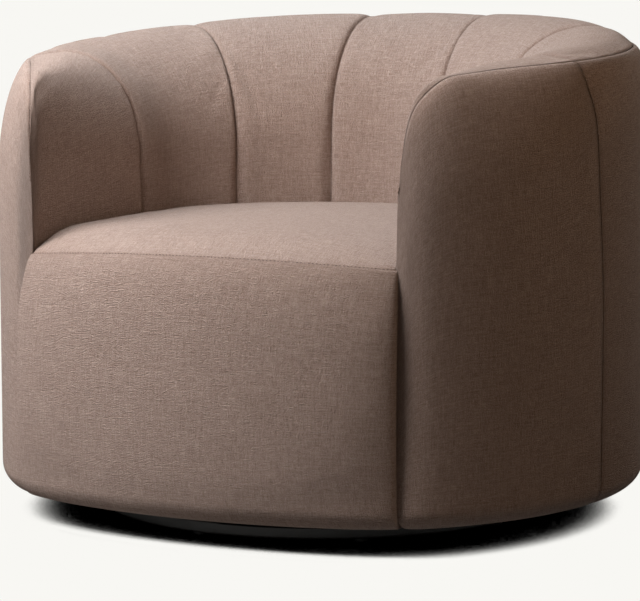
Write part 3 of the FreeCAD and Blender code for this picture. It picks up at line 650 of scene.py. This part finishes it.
def makeSeatTop():
    front, right, back, left = seatSides()
    u, v = (spacing(seat[key], seat["gather"]) for key in ("across", "deep"))
    low, high = respaced(front, u), respaced(back, u)
    west, east = respaced(left, v), respaced(right, v)
    flat = np.zeros((len(u), len(v), 3))
    for i, s in enumerate(u):
        for j, t in enumerate(v):
            edges = (1 - t) * low[i] + t * high[i] + (1 - s) * west[j] + s * east[j]
            before, behind = (1 - s) * low[0] + s * low[-1], (1 - s) * high[0] + s * high[-1]
            flat[i, j] = edges - (1 - t) * before - t * behind
    deep = np.where(flat[..., 1] > 0, seat["crownBehind"], seat["crownBefore"])
    dome = seat["crownTop"] - flat[..., 0] ** 2 / (2 * seat["crownAcross"]) - flat[..., 1] ** 2 / (2 * deep)
    frontGap = np.maximum(flat[..., 1] - frontEdge(flat[..., 0]), 0.0)
    wall = np.array(right + [leftRight(p, -1) for p in right] + back)[:, :2]
    spread = flat[..., :2].reshape(-1, 1, 2) - wall.reshape(1, -1, 2)
    wallGap = np.sqrt((spread**2).sum(axis=2)).min(axis=1).reshape(dome.shape)
    seam = seatSeamHeight(flat[..., 0])
    fall = np.clip(1 - frontGap / seat["frontRoll"], 0.0, 1.0) ** seat["frontPower"]
    height = dome - (dome - seam) * fall
    height -= seat["sideDepth"] * rolled(wallGap, seat["sideRoll"]) * (1 - fall)
    height -= sewing["tuck"] * seat["seamTuckShare"] * rolled(frontGap, sewing["tuckRadius"])
    shown = flat.copy()
    shown[..., 2] = height
    inward = flat.copy()
    inward[..., 2] = np.minimum(height - seat["closingGap"], seam)
    inward[..., :2] *= seat["closingShare"]
    worn = np.exp(-((frontGap - seat["wearFromSeam"]) / seat["wearWidth"]) ** 2)
    # painted shade along the front seam, and wear a little behind it
    tone = {"seamNear": np.exp(-frontGap / sewing["panelShadeWidth"]), "worn": worn}
    piece = closedCover("seat_top_cover", shown, inward, flat[..., :2], tone)
    pads["seat_top_cover"] = (piece, "seat_top_panel")


def frontPanelSide(up, bulge):
    # half a level of the panel, from the middle to one end; up is 0 at the lower edge, 1 at the seam
    f = frontPanel
    share = float(smoothTable(up, f["bulgeShares"], f["bulges"]))
    height = up * (seat["seamMiddle"] - tub["floorGap"])
    under = 0.0
    if height < f["lowerRound"]:
        under = f["lowerRound"] * (1 - sqrt(max(1 - (1 - height / f["lowerRound"]) ** 2, 0.0)))
    push = f["bulge"] * share - under
    end = seat["halfWidth"] - f["endGap"]
    wide = end + bulge * share - under * f["roundShare"]
    flat = seat["halfWidth"] - f["cornerWidth"]
    half = [(x, frontLine(x) - push) for x in np.linspace(0.0, flat, f["flatPoints"])]
    corner = f["cornerDepth"] * (f["cornerTop"] + (1 - f["cornerTop"]) * min(share, 1.0))
    for a in np.linspace(0.0, pi / 2, f["cornerPoints"])[1:]:
        x = flat + (wide - flat) * sin(a) ** (2 / f["cornerPower"])
        half.append((x, frontLine(x) - push + corner * (1 - cos(a))))
    side = half[-1][1]
    for a in np.linspace(0.0, pi / 2, f["endPoints"])[1:]:
        half.append((wide - (wide - end + f["tuckedIn"]) * (1 - cos(a)), side + f["turnedIn"] * sin(a)))
    return half


def frontPanelRow(up):
    low = tub["floorGap"]
    end = seat["halfWidth"] - frontPanel["endGap"]
    left = frontPanelSide(up, frontPanel["leftBulge"])
    points = [(-x, y) for x, y in left[:0:-1]] + frontPanelSide(up, frontPanel["rightBulge"])
    return np.array([(x, y, low + up * (seatSeamHeight(min(abs(x), end)) - low)) for x, y in points])


def makeSeatFront():
    f = frontPanel
    t = np.linspace(0, 1, f["rows"])
    shares = spacing(f["columns"], f["gather"])
    ups = t - f["rowGather"] * np.sin(2 * pi * t) / pi
    grid = np.array([respaced(frontPanelRow(up), shares) for up in ups])
    grid = grid.transpose(1, 0, 2)
    rims["seat_front_cover"] = grid
    inward = grid * (f["closingShare"], 1.0, 1.0) + (0.0, f["thickness"], 0.0)
    down = edgeDistances(grid)["foot"]
    worn = np.exp(-((down / f["wearWidth"] - 1) ** 2)) * f["wear"]
    # painted shade under the seat seam, and wear a little below it
    tone = {"seamNear": np.exp(-down / sewing["panelShadeWidth"]), "worn": worn}
    piece = closedCover("seat_front_cover", grid, inward, clothUv(grid), tone)
    pads["seat_front_cover"] = (piece, "seat_front_panel")


makeChannels()
makeArmPads()
makeOutside()
makeSeatTop()
makeSeatFront()
print("stage: covers made", len(pads))

# Shader helpers: sums on sockets become Math nodes


class Signal:
    def __init__(self, finish, socket):
        self.finish = finish
        self.socket = socket

    def maths(self, operation, *others):
        sockets = dict(enumerate((self,) + others))
        return self.finish.node("ShaderNodeMath", {"operation": operation}, sockets)

    def __add__(self, other):
        return self.maths("ADD", other)

    __radd__ = __add__

    def __sub__(self, other):
        return self.maths("SUBTRACT", other)

    def __rsub__(self, other):
        return self.finish.node("ShaderNodeMath", {"operation": "SUBTRACT"}, {0: other, 1: self})

    def __mul__(self, other):
        return self.maths("MULTIPLY", other)

    def __truediv__(self, other):
        return self.maths("DIVIDE", other)


class Finish:
    def __init__(self, name, roughness=0.5, metallic=0.0):
        self.material = bpy.data.materials.new(name)
        self.material.use_nodes = True
        self.tree = self.material.node_tree
        self.shader = self.tree.nodes["Principled BSDF"]
        self.shader.inputs["Roughness"].default_value = roughness
        self.shader.inputs["Metallic"].default_value = metallic

    def node(self, kind, settings=None, sockets=None, output=0):
        made = self.tree.nodes.new(kind)
        for key, value in (settings or {}).items():
            if key == "stops":
                ramp = made.color_ramp
                while len(ramp.elements) < len(value):
                    ramp.elements.new(0.5)
                for element, (place, shade) in zip(ramp.elements, value):
                    element.position = place
                    element.color = (*shade, 1.0)
            else:
                setattr(made, key, value)
        for key, value in (sockets or {}).items():
            if isinstance(value, Signal):
                self.tree.links.new(value.socket, made.inputs[key])
            else:
                made.inputs[key].default_value = value
        return Signal(self, made.outputs[output])

    def place(self):
        return self.node("ShaderNodeTexCoord", output="Object")

    def noise(self, vector, scale, detail=2.0, roughness=0.5, distortion=0.0):
        return self.node("ShaderNodeTexNoise", {}, {"Vector": vector, "Scale": scale, "Detail": detail,
                                                    "Roughness": roughness, "Distortion": distortion})

    def stretched(self, vector, factors):
        return self.node("ShaderNodeVectorMath", {"operation": "MULTIPLY"}, {0: vector, 1: factors})

    def mixed(self, factor, first, second, blendType="MIX"):
        first = first if isinstance(first, Signal) else (*first, 1.0)
        second = second if isinstance(second, Signal) else (*second, 1.0)
        return self.node("ShaderNodeMix", {"data_type": "RGBA", "blend_type": blendType},
                         {0: factor, 6: first, 7: second}, 2)

    def attribute(self, name):
        return self.node("ShaderNodeAttribute", {"attribute_name": name}, output="Fac")

    def feed(self, name, signal):
        self.tree.links.new(signal.socket, self.shader.inputs[name])

    def bump(self, height, strength, distance):
        sockets = {"Height": height, "Strength": strength, "Distance": distance}
        self.feed("Normal", self.node("ShaderNodeBump", {}, sockets))


def linear(red, green, blue):
    # a colour as it is seen on screen, 0 to 255, turned to light values
    def one(value):
        value /= 255
        return value / 12.92 if value <= 0.04045 else ((value + 0.055) / 1.055) ** 2.4

    return one(red), one(green), one(blue)


linen = {
    "yarn": (170, 148, 138),
    "darkYarn": (146, 123, 112),
    "paleYarn": (190, 169, 160),
    # painted shade for the seam grooves, and how much of it goes into the colour
    "paintedGrooveShade": (112, 90, 80),
    "paintedGrooveShare": 0.45,
    "wornShare": 0.10,
    "pitch": 0.00115,
    "weaveDepth": 0.00026,
    "slubDepth": 0.00230,
    "fleckDepth": 0.00430,
    "wanderScale": 22.0,
    "wander": (0.0016, 0.0016, 0.0),
    "warpSlubs": (700.0, 90.0, 1.0),
    "weftSlubs": (80.0, 760.0, 1.0),
    "warpHeather": (360.0, 22.0, 1.0),
    "weftHeather": (20.0, 340.0, 1.0),
    "fleckScale": 620.0,
    "cloudScale": 7.0,
    "slubTone": 2.6,
    "heatherTone": 1.2,
    "fleckTone": 3.0,
    "cloudTone": 0.3,
    "weaveTone": 0.35,
}


def linenFinish(name, settings):
    finish = Finish(name, roughness=0.88)
    shader = finish.shader
    shader.inputs["Sheen Weight"].default_value = 0.12
    shader.inputs["Sheen Roughness"].default_value = 0.45
    shader.inputs["Specular IOR Level"].default_value = 0.25
    cloth = finish.node("ShaderNodeUVMap", {"uv_map": "cloth"})
    wander = finish.noise(cloth, settings["wanderScale"], 1.0)
    waved = finish.node("ShaderNodeVectorMath", {"operation": "MULTIPLY_ADD"},
                        {0: finish.node("ShaderNodeCombineXYZ", {}, {"X": wander, "Y": wander}),
                         1: settings["wander"], 2: cloth})
    split = finish.node("ShaderNodeSeparateXYZ", {}, {0: waved})
    across = split
    down = Signal(finish, split.socket.node.outputs[1])
    pitch = settings["pitch"]
    warpShare = (across / pitch).maths("FRACT")
    weftShare = (down / pitch).maths("FRACT")
    warpHill = (warpShare * pi).maths("SINE")
    weftHill = (weftShare * pi).maths("SINE")
    crossing = (across / pitch).maths("FLOOR") + (down / pitch).maths("FLOOR")
    over = crossing.maths("MODULO", 2.0).maths("ABSOLUTE")
    weave = over * warpHill * (weftHill * 0.5 + 0.5) + (1 - over) * weftHill * (warpHill * 0.5 + 0.5)
    # uneven yarn: fine slubs along the warp and the weft, and longer heathered streaks
    warpSlub, weftSlub = (finish.noise(finish.stretched(cloth, settings[key]), 1.0, 2.0, 0.6)
                          for key in ("warpSlubs", "weftSlubs"))
    warpLong, weftLong = (finish.noise(finish.stretched(cloth, settings[key]), 1.0, 1.0, 0.5)
                          for key in ("warpHeather", "weftHeather"))
    fleck = finish.noise(cloth, settings["fleckScale"], 1.0, 0.5)
    cloud = finish.noise(cloth, settings["cloudScale"], 2.0, 0.5)
    streaks = (warpSlub + weftSlub - 1.0) * settings["slubTone"]
    streaks = streaks + (warpLong + weftLong - 1.0) * settings["heatherTone"]
    streaks = streaks + (fleck - 0.5) * settings["fleckTone"] + (cloud - 0.5) * settings["cloudTone"]
    streaks = streaks + (weave - 0.4) * settings["weaveTone"]
    shade = finish.node("ShaderNodeMapRange", {}, {"Value": streaks, "From Min": -1.0, "From Max": 1.0})
    stops = [(k / 2, linear(*settings[key])) for k, key in enumerate(("darkYarn", "yarn", "paleYarn"))]
    colour = finish.node("ShaderNodeValToRGB", {"stops": stops}, {"Fac": shade})
    worn = finish.attribute("worn") * settings["wornShare"]
    colour = finish.mixed(worn, colour, linear(*settings["paleYarn"]))
    # painted shade in the seam grooves, mixed into the cloth's colour
    seamNear = finish.attribute("seamNear") * settings["paintedGrooveShare"]
    colour = finish.mixed(seamNear, colour, linear(*settings["paintedGrooveShade"]))
    finish.feed("Base Color", colour)
    finish.feed("Roughness", 0.94 - shade * 0.12)
    slubs = (warpSlub + weftSlub - 1.0) * (settings["slubDepth"] / settings["weaveDepth"])
    flecks = (fleck - 0.5) * (settings["fleckDepth"] / settings["weaveDepth"])
    finish.bump(weave + slubs + flecks, 1.0, settings["weaveDepth"])
    return finish.material


def woodFinish(name, pale, dark, along, rings, roughness):
    finish = Finish(name, roughness=roughness)
    place = finish.place()
    grain = finish.noise(finish.stretched(place, along), 1.0, 5.0, 0.6, 0.6)
    figure = finish.noise(finish.stretched(place, rings), 1.0, 2.0, 0.5)
    colour = finish.mixed(grain * 0.7 + figure * 0.3, linear(*dark), linear(*pale))
    finish.feed("Base Color", colour)
    finish.feed("Roughness", roughness + (grain - 0.5) * 0.2)
    finish.bump(grain, 0.4, 0.0003)
    return finish.material


def paintedBoardFinish(name):
    finish = Finish(name, roughness=0.55)
    place = finish.place()
    grain = finish.noise(finish.stretched(place, (26.0, 420.0, 200.0)), 1.0, 4.0, 0.6)
    scuff = finish.noise(place, 60.0, 5.0, 0.7)
    colour = finish.mixed(grain * 0.6 + scuff * 0.4, linear(14, 13, 13), linear(40, 37, 35))
    finish.feed("Base Color", colour)
    finish.feed("Roughness", 0.42 + scuff * 0.3)
    finish.bump(grain, 0.5, 0.0002)
    return finish.material


def metalFinish(name, colour, brushed, roughness):
    finish = Finish(name, roughness=roughness, metallic=1.0)
    place = finish.place()
    lines = finish.noise(finish.stretched(place, brushed), 1.0, 3.0, 0.6)
    stain = finish.noise(place, 45.0, 4.0, 0.6)
    darker = tuple(c * 0.72 for c in linear(*colour))
    finish.feed("Base Color", finish.mixed(stain, darker, linear(*colour)))
    finish.feed("Roughness", roughness + (lines - 0.5) * 0.25)
    finish.bump(lines, 0.3, 0.00008)
    return finish.material


def plasticFinish(name, colour, grainScale):
    finish = Finish(name, roughness=0.45)
    place = finish.place()
    grain = finish.noise(place, grainScale, 3.0, 0.6)
    dust = finish.noise(place, 90.0, 4.0, 0.6)
    pale = tuple(min(c * 1.8 + 0.01, 1.0) for c in linear(*colour))
    finish.feed("Base Color", finish.mixed(dust * 0.5, linear(*colour), pale))
    finish.feed("Roughness", 0.36 + grain * 0.2)
    finish.bump(grain, 0.4, 0.00012)
    return finish.material


def foamFinish(name):
    finish = Finish(name, roughness=0.9)
    place = finish.place()
    cells = finish.node("ShaderNodeTexVoronoi", {"feature": "DISTANCE_TO_EDGE"},
                        {"Vector": place, "Scale": 620.0})
    age = finish.noise(place, 14.0, 3.0, 0.6)
    finish.feed("Base Color", finish.mixed(age, linear(233, 222, 188), linear(246, 238, 214)))
    finish.bump(cells, 0.6, 0.0004)
    return finish.material


def clothStripFinish(name, ground, stripe, pitch, stripeWidth):
    finish = Finish(name, roughness=0.92)
    place = finish.place()
    split = finish.node("ShaderNodeSeparateXYZ", {}, {0: place})
    across, down = split, Signal(finish, split.socket.node.outputs[1])
    warp = ((across / pitch).maths("FRACT") * pi).maths("SINE")
    weft = ((down / pitch).maths("FRACT") * pi).maths("SINE")
    band = ((across / stripeWidth).maths("FRACT") - 0.5).maths("ABSOLUTE").maths("GREATER_THAN", 0.36)
    fibre = finish.noise(place, 900.0, 2.0, 0.6)
    colour = finish.mixed(band * 0.8, linear(*ground), linear(*stripe))
    dark = tuple(c * 0.6 for c in linear(*ground))
    finish.feed("Base Color", finish.mixed(fibre * 0.5, colour, dark))
    finish.bump(warp * weft + fibre * 0.4, 0.6, 0.0005)
    return finish.material


cover = linenFinish("linen_cover", linen)
slotFinishes = {
    "upholstery": cover,
    "foam": foamFinish("seat_foam_cells"),
    "webbing": clothStripFinish("jute_webbing", (176, 150, 110), (60, 44, 34), 0.0016, 0.050),
    "dust_cloth": clothStripFinish("black_dust_cloth", (26, 26, 28), (22, 22, 24), 0.0012, 0.030),
    "plywood": woodFinish("birch_ply", (214, 186, 142), (176, 142, 96), (9.0, 140.0, 700.0),
                          (3.0, 22.0, 30.0), 0.62),
    "hardwood": woodFinish("planed_beech", (206, 170, 126), (160, 118, 78), (120.0, 120.0, 8.0),
                           (26.0, 26.0, 2.5), 0.6),
    "black_board": paintedBoardFinish("black_painted_board"),
    "zinc_steel": metalFinish("zinc_plate", (176, 176, 172), (40.0, 900.0, 300.0), 0.38),
    "black_nylon": plasticFinish("black_nylon_glide", (18, 18, 19), 900.0),
    "bearing_steel": metalFinish("ground_steel", (196, 197, 200), (700.0, 700.0, 700.0), 0.2),
}


def dressFrame():
    for row in frame["record"]["subparts"]:
        node = frame["nodes"][row["node"]]
        finish = slotFinishes[row["material_slot"]]
        node.data.materials.clear()
        node.data.materials.append(finish)


dressFrame()
print("stage: finishes made")

# Padding: each sewn pad's cover is let out a little and blown up against its sewn edges.
# The outside covers are pulled tight over the tub, so they stay as they are.

padding = {
    "pressure": 4.0,
    "frames": 20,
    "mass": 0.35,
    "ease": -0.010,
    "stiffness": 18.0,
    "bending": 0.6,
    "cap": 0.0030,
    "quality": 4,
    "calm": 4,
    "calmFront": 90,
}


def calmed(move, piece, passes):
    # evens the swelling out, as the foam under the cloth does
    ends = np.empty(len(piece.data.edges) * 2, int)
    piece.data.edges.foreach_get("vertices", ends)
    a, b = ends[::2], ends[1::2]
    count = np.bincount(ends, minlength=len(move))[:, None]
    still = np.linalg.norm(move, axis=1) < 1e-7
    for step in range(passes):
        total = np.stack([np.bincount(a, move[b, k], len(move)) + np.bincount(b, move[a, k], len(move))
                          for k in range(3)], axis=1)
        move = (move + total / np.maximum(count, 1)) / 2
        move[still] = 0.0
    return move


def fillCover(piece):
    scene = bpy.context.scene
    before = np.array([v.co for v in piece.data.vertices])
    cloth = piece.modifiers.new("filling", "CLOTH")
    options = cloth.settings
    options.quality = padding["quality"]
    options.mass = padding["mass"]
    options.tension_stiffness = padding["stiffness"]
    options.compression_stiffness = padding["stiffness"]
    options.shear_stiffness = padding["stiffness"] / 2
    options.bending_stiffness = padding["bending"]
    options.use_pressure = True
    options.uniform_pressure_force = padding["pressure"]
    options.vertex_group_mass = "held"
    options.shrink_min = padding["ease"]
    options.effector_weights.gravity = 0.0
    cloth.point_cache.frame_start = 1
    cloth.point_cache.frame_end = padding["frames"]
    for step in range(1, padding["frames"] + 1):
        scene.frame_set(step)
    solved = piece.evaluated_get(bpy.context.evaluated_depsgraph_get())
    after = np.array([v.co for v in solved.data.vertices])
    move = after - before
    size = np.linalg.norm(move, axis=1, keepdims=True)
    move *= padding["cap"] * np.tanh(size / padding["cap"]) / np.maximum(size, 1e-9)
    piece.modifiers.remove(cloth)
    move = calmed(move, piece, padding["calmFront" if piece.name == "seat_front_cover" else "calm"])
    piece.data.vertices.foreach_set("co", (before + move).astype(np.float32).ravel())
    piece.data.update()
    scene.frame_set(1)
    return float(size.max())


for name, (piece, node) in pads.items():
    if not node.startswith("outer_panel"):
        print("stage: filled", name, round(fillCover(piece) * 1000, 2), "mm")

for name, (piece, node) in pads.items():
    piece.data.materials.append(cover)
    finer = piece.modifiers.new("finer", "SUBSURF")
    finer.levels = 1
    finer.render_levels = 1
    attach(piece, "seat_body")
    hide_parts(node)
print("stage: covers on")

# Stitches: thread in the seams, spaced along the borders of the covers

stitching = {
    "Spacing": 0.0052,
    "Stitch": 0.0014,
    "Thread": 0.00042,
    "shortest": 0.85,
    "longest": 1.10,
    "seed": 7,
    "endGap": 0.006,
}


def stitchTree():
    tree = bpy.data.node_groups.new("seam_stitches", "GeometryNodeTree")
    sockets = {}
    for key, kind in (("Seam", "Geometry"), ("Spacing", "Float"), ("Stitch", "Float"), ("Thread", "Float"),
                      ("Finish", "Material")):
        sockets[key] = tree.interface.new_socket(key, in_out="INPUT", socket_type="NodeSocket" + kind)
    tree.interface.new_socket("Stitches", in_out="OUTPUT", socket_type="NodeSocketGeometry")

    def add(kind, inputs=None, settings=None):
        node = tree.nodes.new(kind)
        for key, value in (settings or {}).items():
            setattr(node, key, value)
        for key, value in (inputs or {}).items():
            if isinstance(value, bpy.types.NodeSocket):
                tree.links.new(value, node.inputs[key])
            else:
                node.inputs[key].default_value = value
        return node.outputs

    given = add("NodeGroupInput")
    spaced = add("GeometryNodeResampleCurve", {"Curve": given["Seam"], "Length": given["Spacing"]},
                 {"mode": "LENGTH"})
    size = add("ShaderNodeCombineXYZ", {"X": given["Thread"], "Y": given["Thread"], "Z": given["Stitch"]})
    bead = add("GeometryNodeMeshIcoSphere", {"Radius": 1.0, "Subdivisions": 2})
    bead = add("GeometryNodeTransform", {"Geometry": bead["Mesh"], "Scale": size[0]})
    tangent = add("GeometryNodeInputTangent")
    turn = add("FunctionNodeAlignRotationToVector", {"Vector": tangent[0]}, {"axis": "Z"})
    uneven = {2: stitching["shortest"], 3: stitching["longest"], "Seed": stitching["seed"]}
    uneven = add("FunctionNodeRandomValue", uneven, {"data_type": "FLOAT"})
    placed = add("GeometryNodeInstanceOnPoints", {"Points": spaced["Curve"], "Instance": bead["Geometry"],
                                                  "Rotation": turn["Rotation"], "Scale": uneven[1]})
    real = add("GeometryNodeRealizeInstances", {"Geometry": placed["Instances"]})
    dressed = add("GeometryNodeSetMaterial", {"Geometry": real["Geometry"], "Material": given["Finish"]})
    add("NodeGroupOutput", {0: dressed["Geometry"]})
    return tree, sockets


def threadFinish():
    finish = Finish("seam_thread", roughness=0.8)
    place = finish.place()
    twist = finish.noise(place, 1400.0, 1.0, 0.5)
    # the thread is darker than the cloth: partly the thread's own colour, partly painted shade of the seam
    # groove it lies in
    finish.feed("Base Color", finish.mixed(twist, linear(70, 54, 46), linear(112, 92, 82)))
    finish.bump(twist, 0.4, 0.0001)
    return finish.material


def stitched(name, lines, tree, sockets, thread):
    curve = bpy.data.curves.new(name, "CURVE")
    curve.dimensions = "3D"
    for line in lines:
        spline = curve.splines.new("POLY")
        spline.points.add(len(line) - 1)
        places = np.column_stack((line, np.ones(len(line)))).astype(np.float32)
        spline.points.foreach_set("co", places.ravel())
    holder = linked(name + "_line", curve)
    modifier = holder.modifiers.new("stitches", "NODES")
    modifier.node_group = tree
    for key in ("Spacing", "Stitch", "Thread"):
        modifier[sockets[key].identifier] = stitching[key]
    modifier[sockets["Finish"].identifier] = thread
    graph = bpy.context.evaluated_depsgraph_get()
    mesh = bpy.data.meshes.new_from_object(holder.evaluated_get(graph), depsgraph=graph)
    bpy.data.objects.remove(holder)
    piece = linked(name, mesh)
    if not mesh.materials:
        mesh.materials.append(thread)
    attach(piece, "seat_body")
    print("stage: stitches", name, len(mesh.polygons))


def makeStitches():
    tree, sockets = stitchTree()
    thread = threadFinish()
    right, left, back = (rims["outer_cover_" + label] for label in ("right", "left", "back"))
    front = rims["seat_front_cover"]
    within = np.abs(front[:, -1, 0]) < seat["halfWidth"] - stitching["endGap"]
    seams = {
        "stitches_top_seam": [right[:, -1], left[:, -1], back[:, -1]],
        "stitches_side_seams": [right[-1], left[0]],
        "stitches_seat_seam": [front[within, -1]],
        "stitches_channel_seams": [rims["back_channel_cover_%d" % (k + 1)][0] for k in range(5)]
        + [rims["back_channel_cover_1"][-1]],
    }
    for name, lines in seams.items():
        stitched(name, lines, tree, sockets, thread)


makeStitches()

# Floor, lamps and camera

studio = {
    "background": (248, 247, 243),
    "paper": (0.16, 0.15, 0.14, 1.0),
    "floorSize": 12.0,
    "fill": 0.003,
    "fillColour": (1.0, 0.80, 0.62, 1.0),
    # painted contact shadow on the floor: the reach of its occlusion, and the occlusion values at which it
    # is black and clear
    "paintedShadowReach": 0.200,
    "paintedShadowSamples": 32,
    "paintedShadowFrom": 0.12,
    "paintedShadowTo": 0.32,
    "lampSize": 1.2,
    "lampDistance": 1.7,
    "lampTarget": (0.0, 0.0, 0.4),
}
# azimuth from the front, plus towards the right; elevation; watts; colour
lamps = {
    "key_softbox": (-34.0, 40.0, 50.0, (0.98, 0.94, 0.91)),
    "high_softbox": (-120.0, 65.0, 19.0, (0.80, 0.93, 1.0)),
    "right_softbox": (70.0, 42.0, 4.6, (1.0, 0.68, 0.42)),
    "back_softbox": (165.0, 25.0, 7.0, (1.0, 0.94, 0.88)),
}


def makeFloor():
    half = studio["floorSize"] / 2
    mesh = bpy.data.meshes.new("studio_floor")
    corners = [(-half, -half, 0), (half, -half, 0), (half, half, 0), (-half, half, 0)]
    mesh.from_pydata(corners, [], [(0, 1, 2, 3)])
    floor = linked("studio_floor", mesh)
    finish = Finish("studio_paper", roughness=0.9)
    tree = finish.tree
    path = tree.nodes.new("ShaderNodeLightPath")
    seen = Signal(finish, path.outputs["Is Camera Ray"]) + Signal(finish, path.outputs["Is Glossy Ray"])
    seen = (seen + Signal(finish, path.outputs["Is Transmission Ray"])).maths("MINIMUM", 1.0)
    # painted contact shadow: ambient occlusion darkens the floor colour that the camera sees, in place of
    # the lamps' shadow
    near = finish.node("ShaderNodeAmbientOcclusion", {"samples": studio["paintedShadowSamples"]},
                       {"Distance": studio["paintedShadowReach"]}, "AO")
    near = finish.node("ShaderNodeMapRange", {"interpolation_type": "SMOOTHSTEP"},
                       {"Value": near, "From Min": studio["paintedShadowFrom"], "From Max": studio["paintedShadowTo"]})
    glow = finish.node("ShaderNodeEmission", {}, {
        "Color": finish.mixed(near, (0.0, 0.0, 0.0), linear(*studio["background"])), "Strength": 1.0})
    finish.shader.inputs["Base Color"].default_value = studio["paper"]
    paper = Signal(finish, finish.shader.outputs[0])
    mix = finish.node("ShaderNodeMixShader", {}, {0: seen, 1: paper, 2: glow})
    tree.links.new(mix.socket, tree.nodes["Material Output"].inputs["Surface"])
    mesh.materials.append(finish.material)


def makeWorld():
    world = bpy.data.worlds.new("studio")
    world.use_nodes = True
    bpy.context.scene.world = world
    tree = world.node_tree
    base = tree.nodes["Background"]
    base.inputs["Color"].default_value = studio["fillColour"]
    base.inputs["Strength"].default_value = studio["fill"]
    shown = tree.nodes.new("ShaderNodeBackground")
    shown.inputs["Color"].default_value = (*linear(*studio["background"]), 1.0)
    shown.inputs["Strength"].default_value = 1.0
    path = tree.nodes.new("ShaderNodeLightPath")
    either = tree.nodes.new("ShaderNodeMath")
    either.operation = "MAXIMUM"
    tree.links.new(path.outputs["Is Camera Ray"], either.inputs[0])
    tree.links.new(path.outputs["Is Transmission Ray"], either.inputs[1])
    mix = tree.nodes.new("ShaderNodeMixShader")
    tree.links.new(either.outputs[0], mix.inputs[0])
    tree.links.new(base.outputs[0], mix.inputs[1])
    tree.links.new(shown.outputs[0], mix.inputs[2])
    tree.links.new(mix.outputs[0], tree.nodes["World Output"].inputs["Surface"])


def aimed(name, data, azimuth, elevation, target, distance):
    # stands off the target, out in front of the chair and round to the right, and looks back at it
    a, e = radians(azimuth), radians(elevation)
    out = Vector((sin(a) * cos(e), -cos(a) * cos(e), sin(e)))
    holder = linked(name, data)
    holder.location = target + out * distance
    holder.rotation_euler = (-out).to_track_quat("-Z", "Y").to_euler()
    return holder


def softbox(name, azimuth, elevation, power, colour):
    lamp = bpy.data.lights.new(name, "AREA")
    lamp.shape = "DISK"
    lamp.size = studio["lampSize"]
    lamp.energy = power
    lamp.color = colour
    aimed(name, lamp, azimuth, elevation, Vector(studio["lampTarget"]), studio["lampDistance"])


def makeCamera():
    camera = {
        "azimuth": 25.4,
        "elevation": 6.44,
        "distance": 3.763,
        "focalPixels": 2530.0,
        "shiftRight": -0.0039,
        "targetHeight": 0.3029,
        "imageWidth": 640,
        "sensor": 36.0,
    }
    lens = bpy.data.cameras.new("photo_camera")
    lens.sensor_width = camera["sensor"]
    lens.lens = camera["sensor"] * camera["focalPixels"] / camera["imageWidth"]
    lens.clip_start, lens.clip_end = 0.05, 60.0
    turn = radians(camera["azimuth"])
    target = Vector((cos(turn), sin(turn), 0.0)) * camera["shiftRight"]
    target += Vector((0, 0, camera["targetHeight"]))
    bpy.context.scene.camera = aimed("photo_camera", lens, camera["azimuth"], camera["elevation"],
                                     target, camera["distance"])


makeFloor()
makeWorld()
for name, lamp in lamps.items():
    softbox(name, *lamp)
makeCamera()
bpy.context.scene.view_settings.view_transform = "Standard"
print("stage: studio ready")
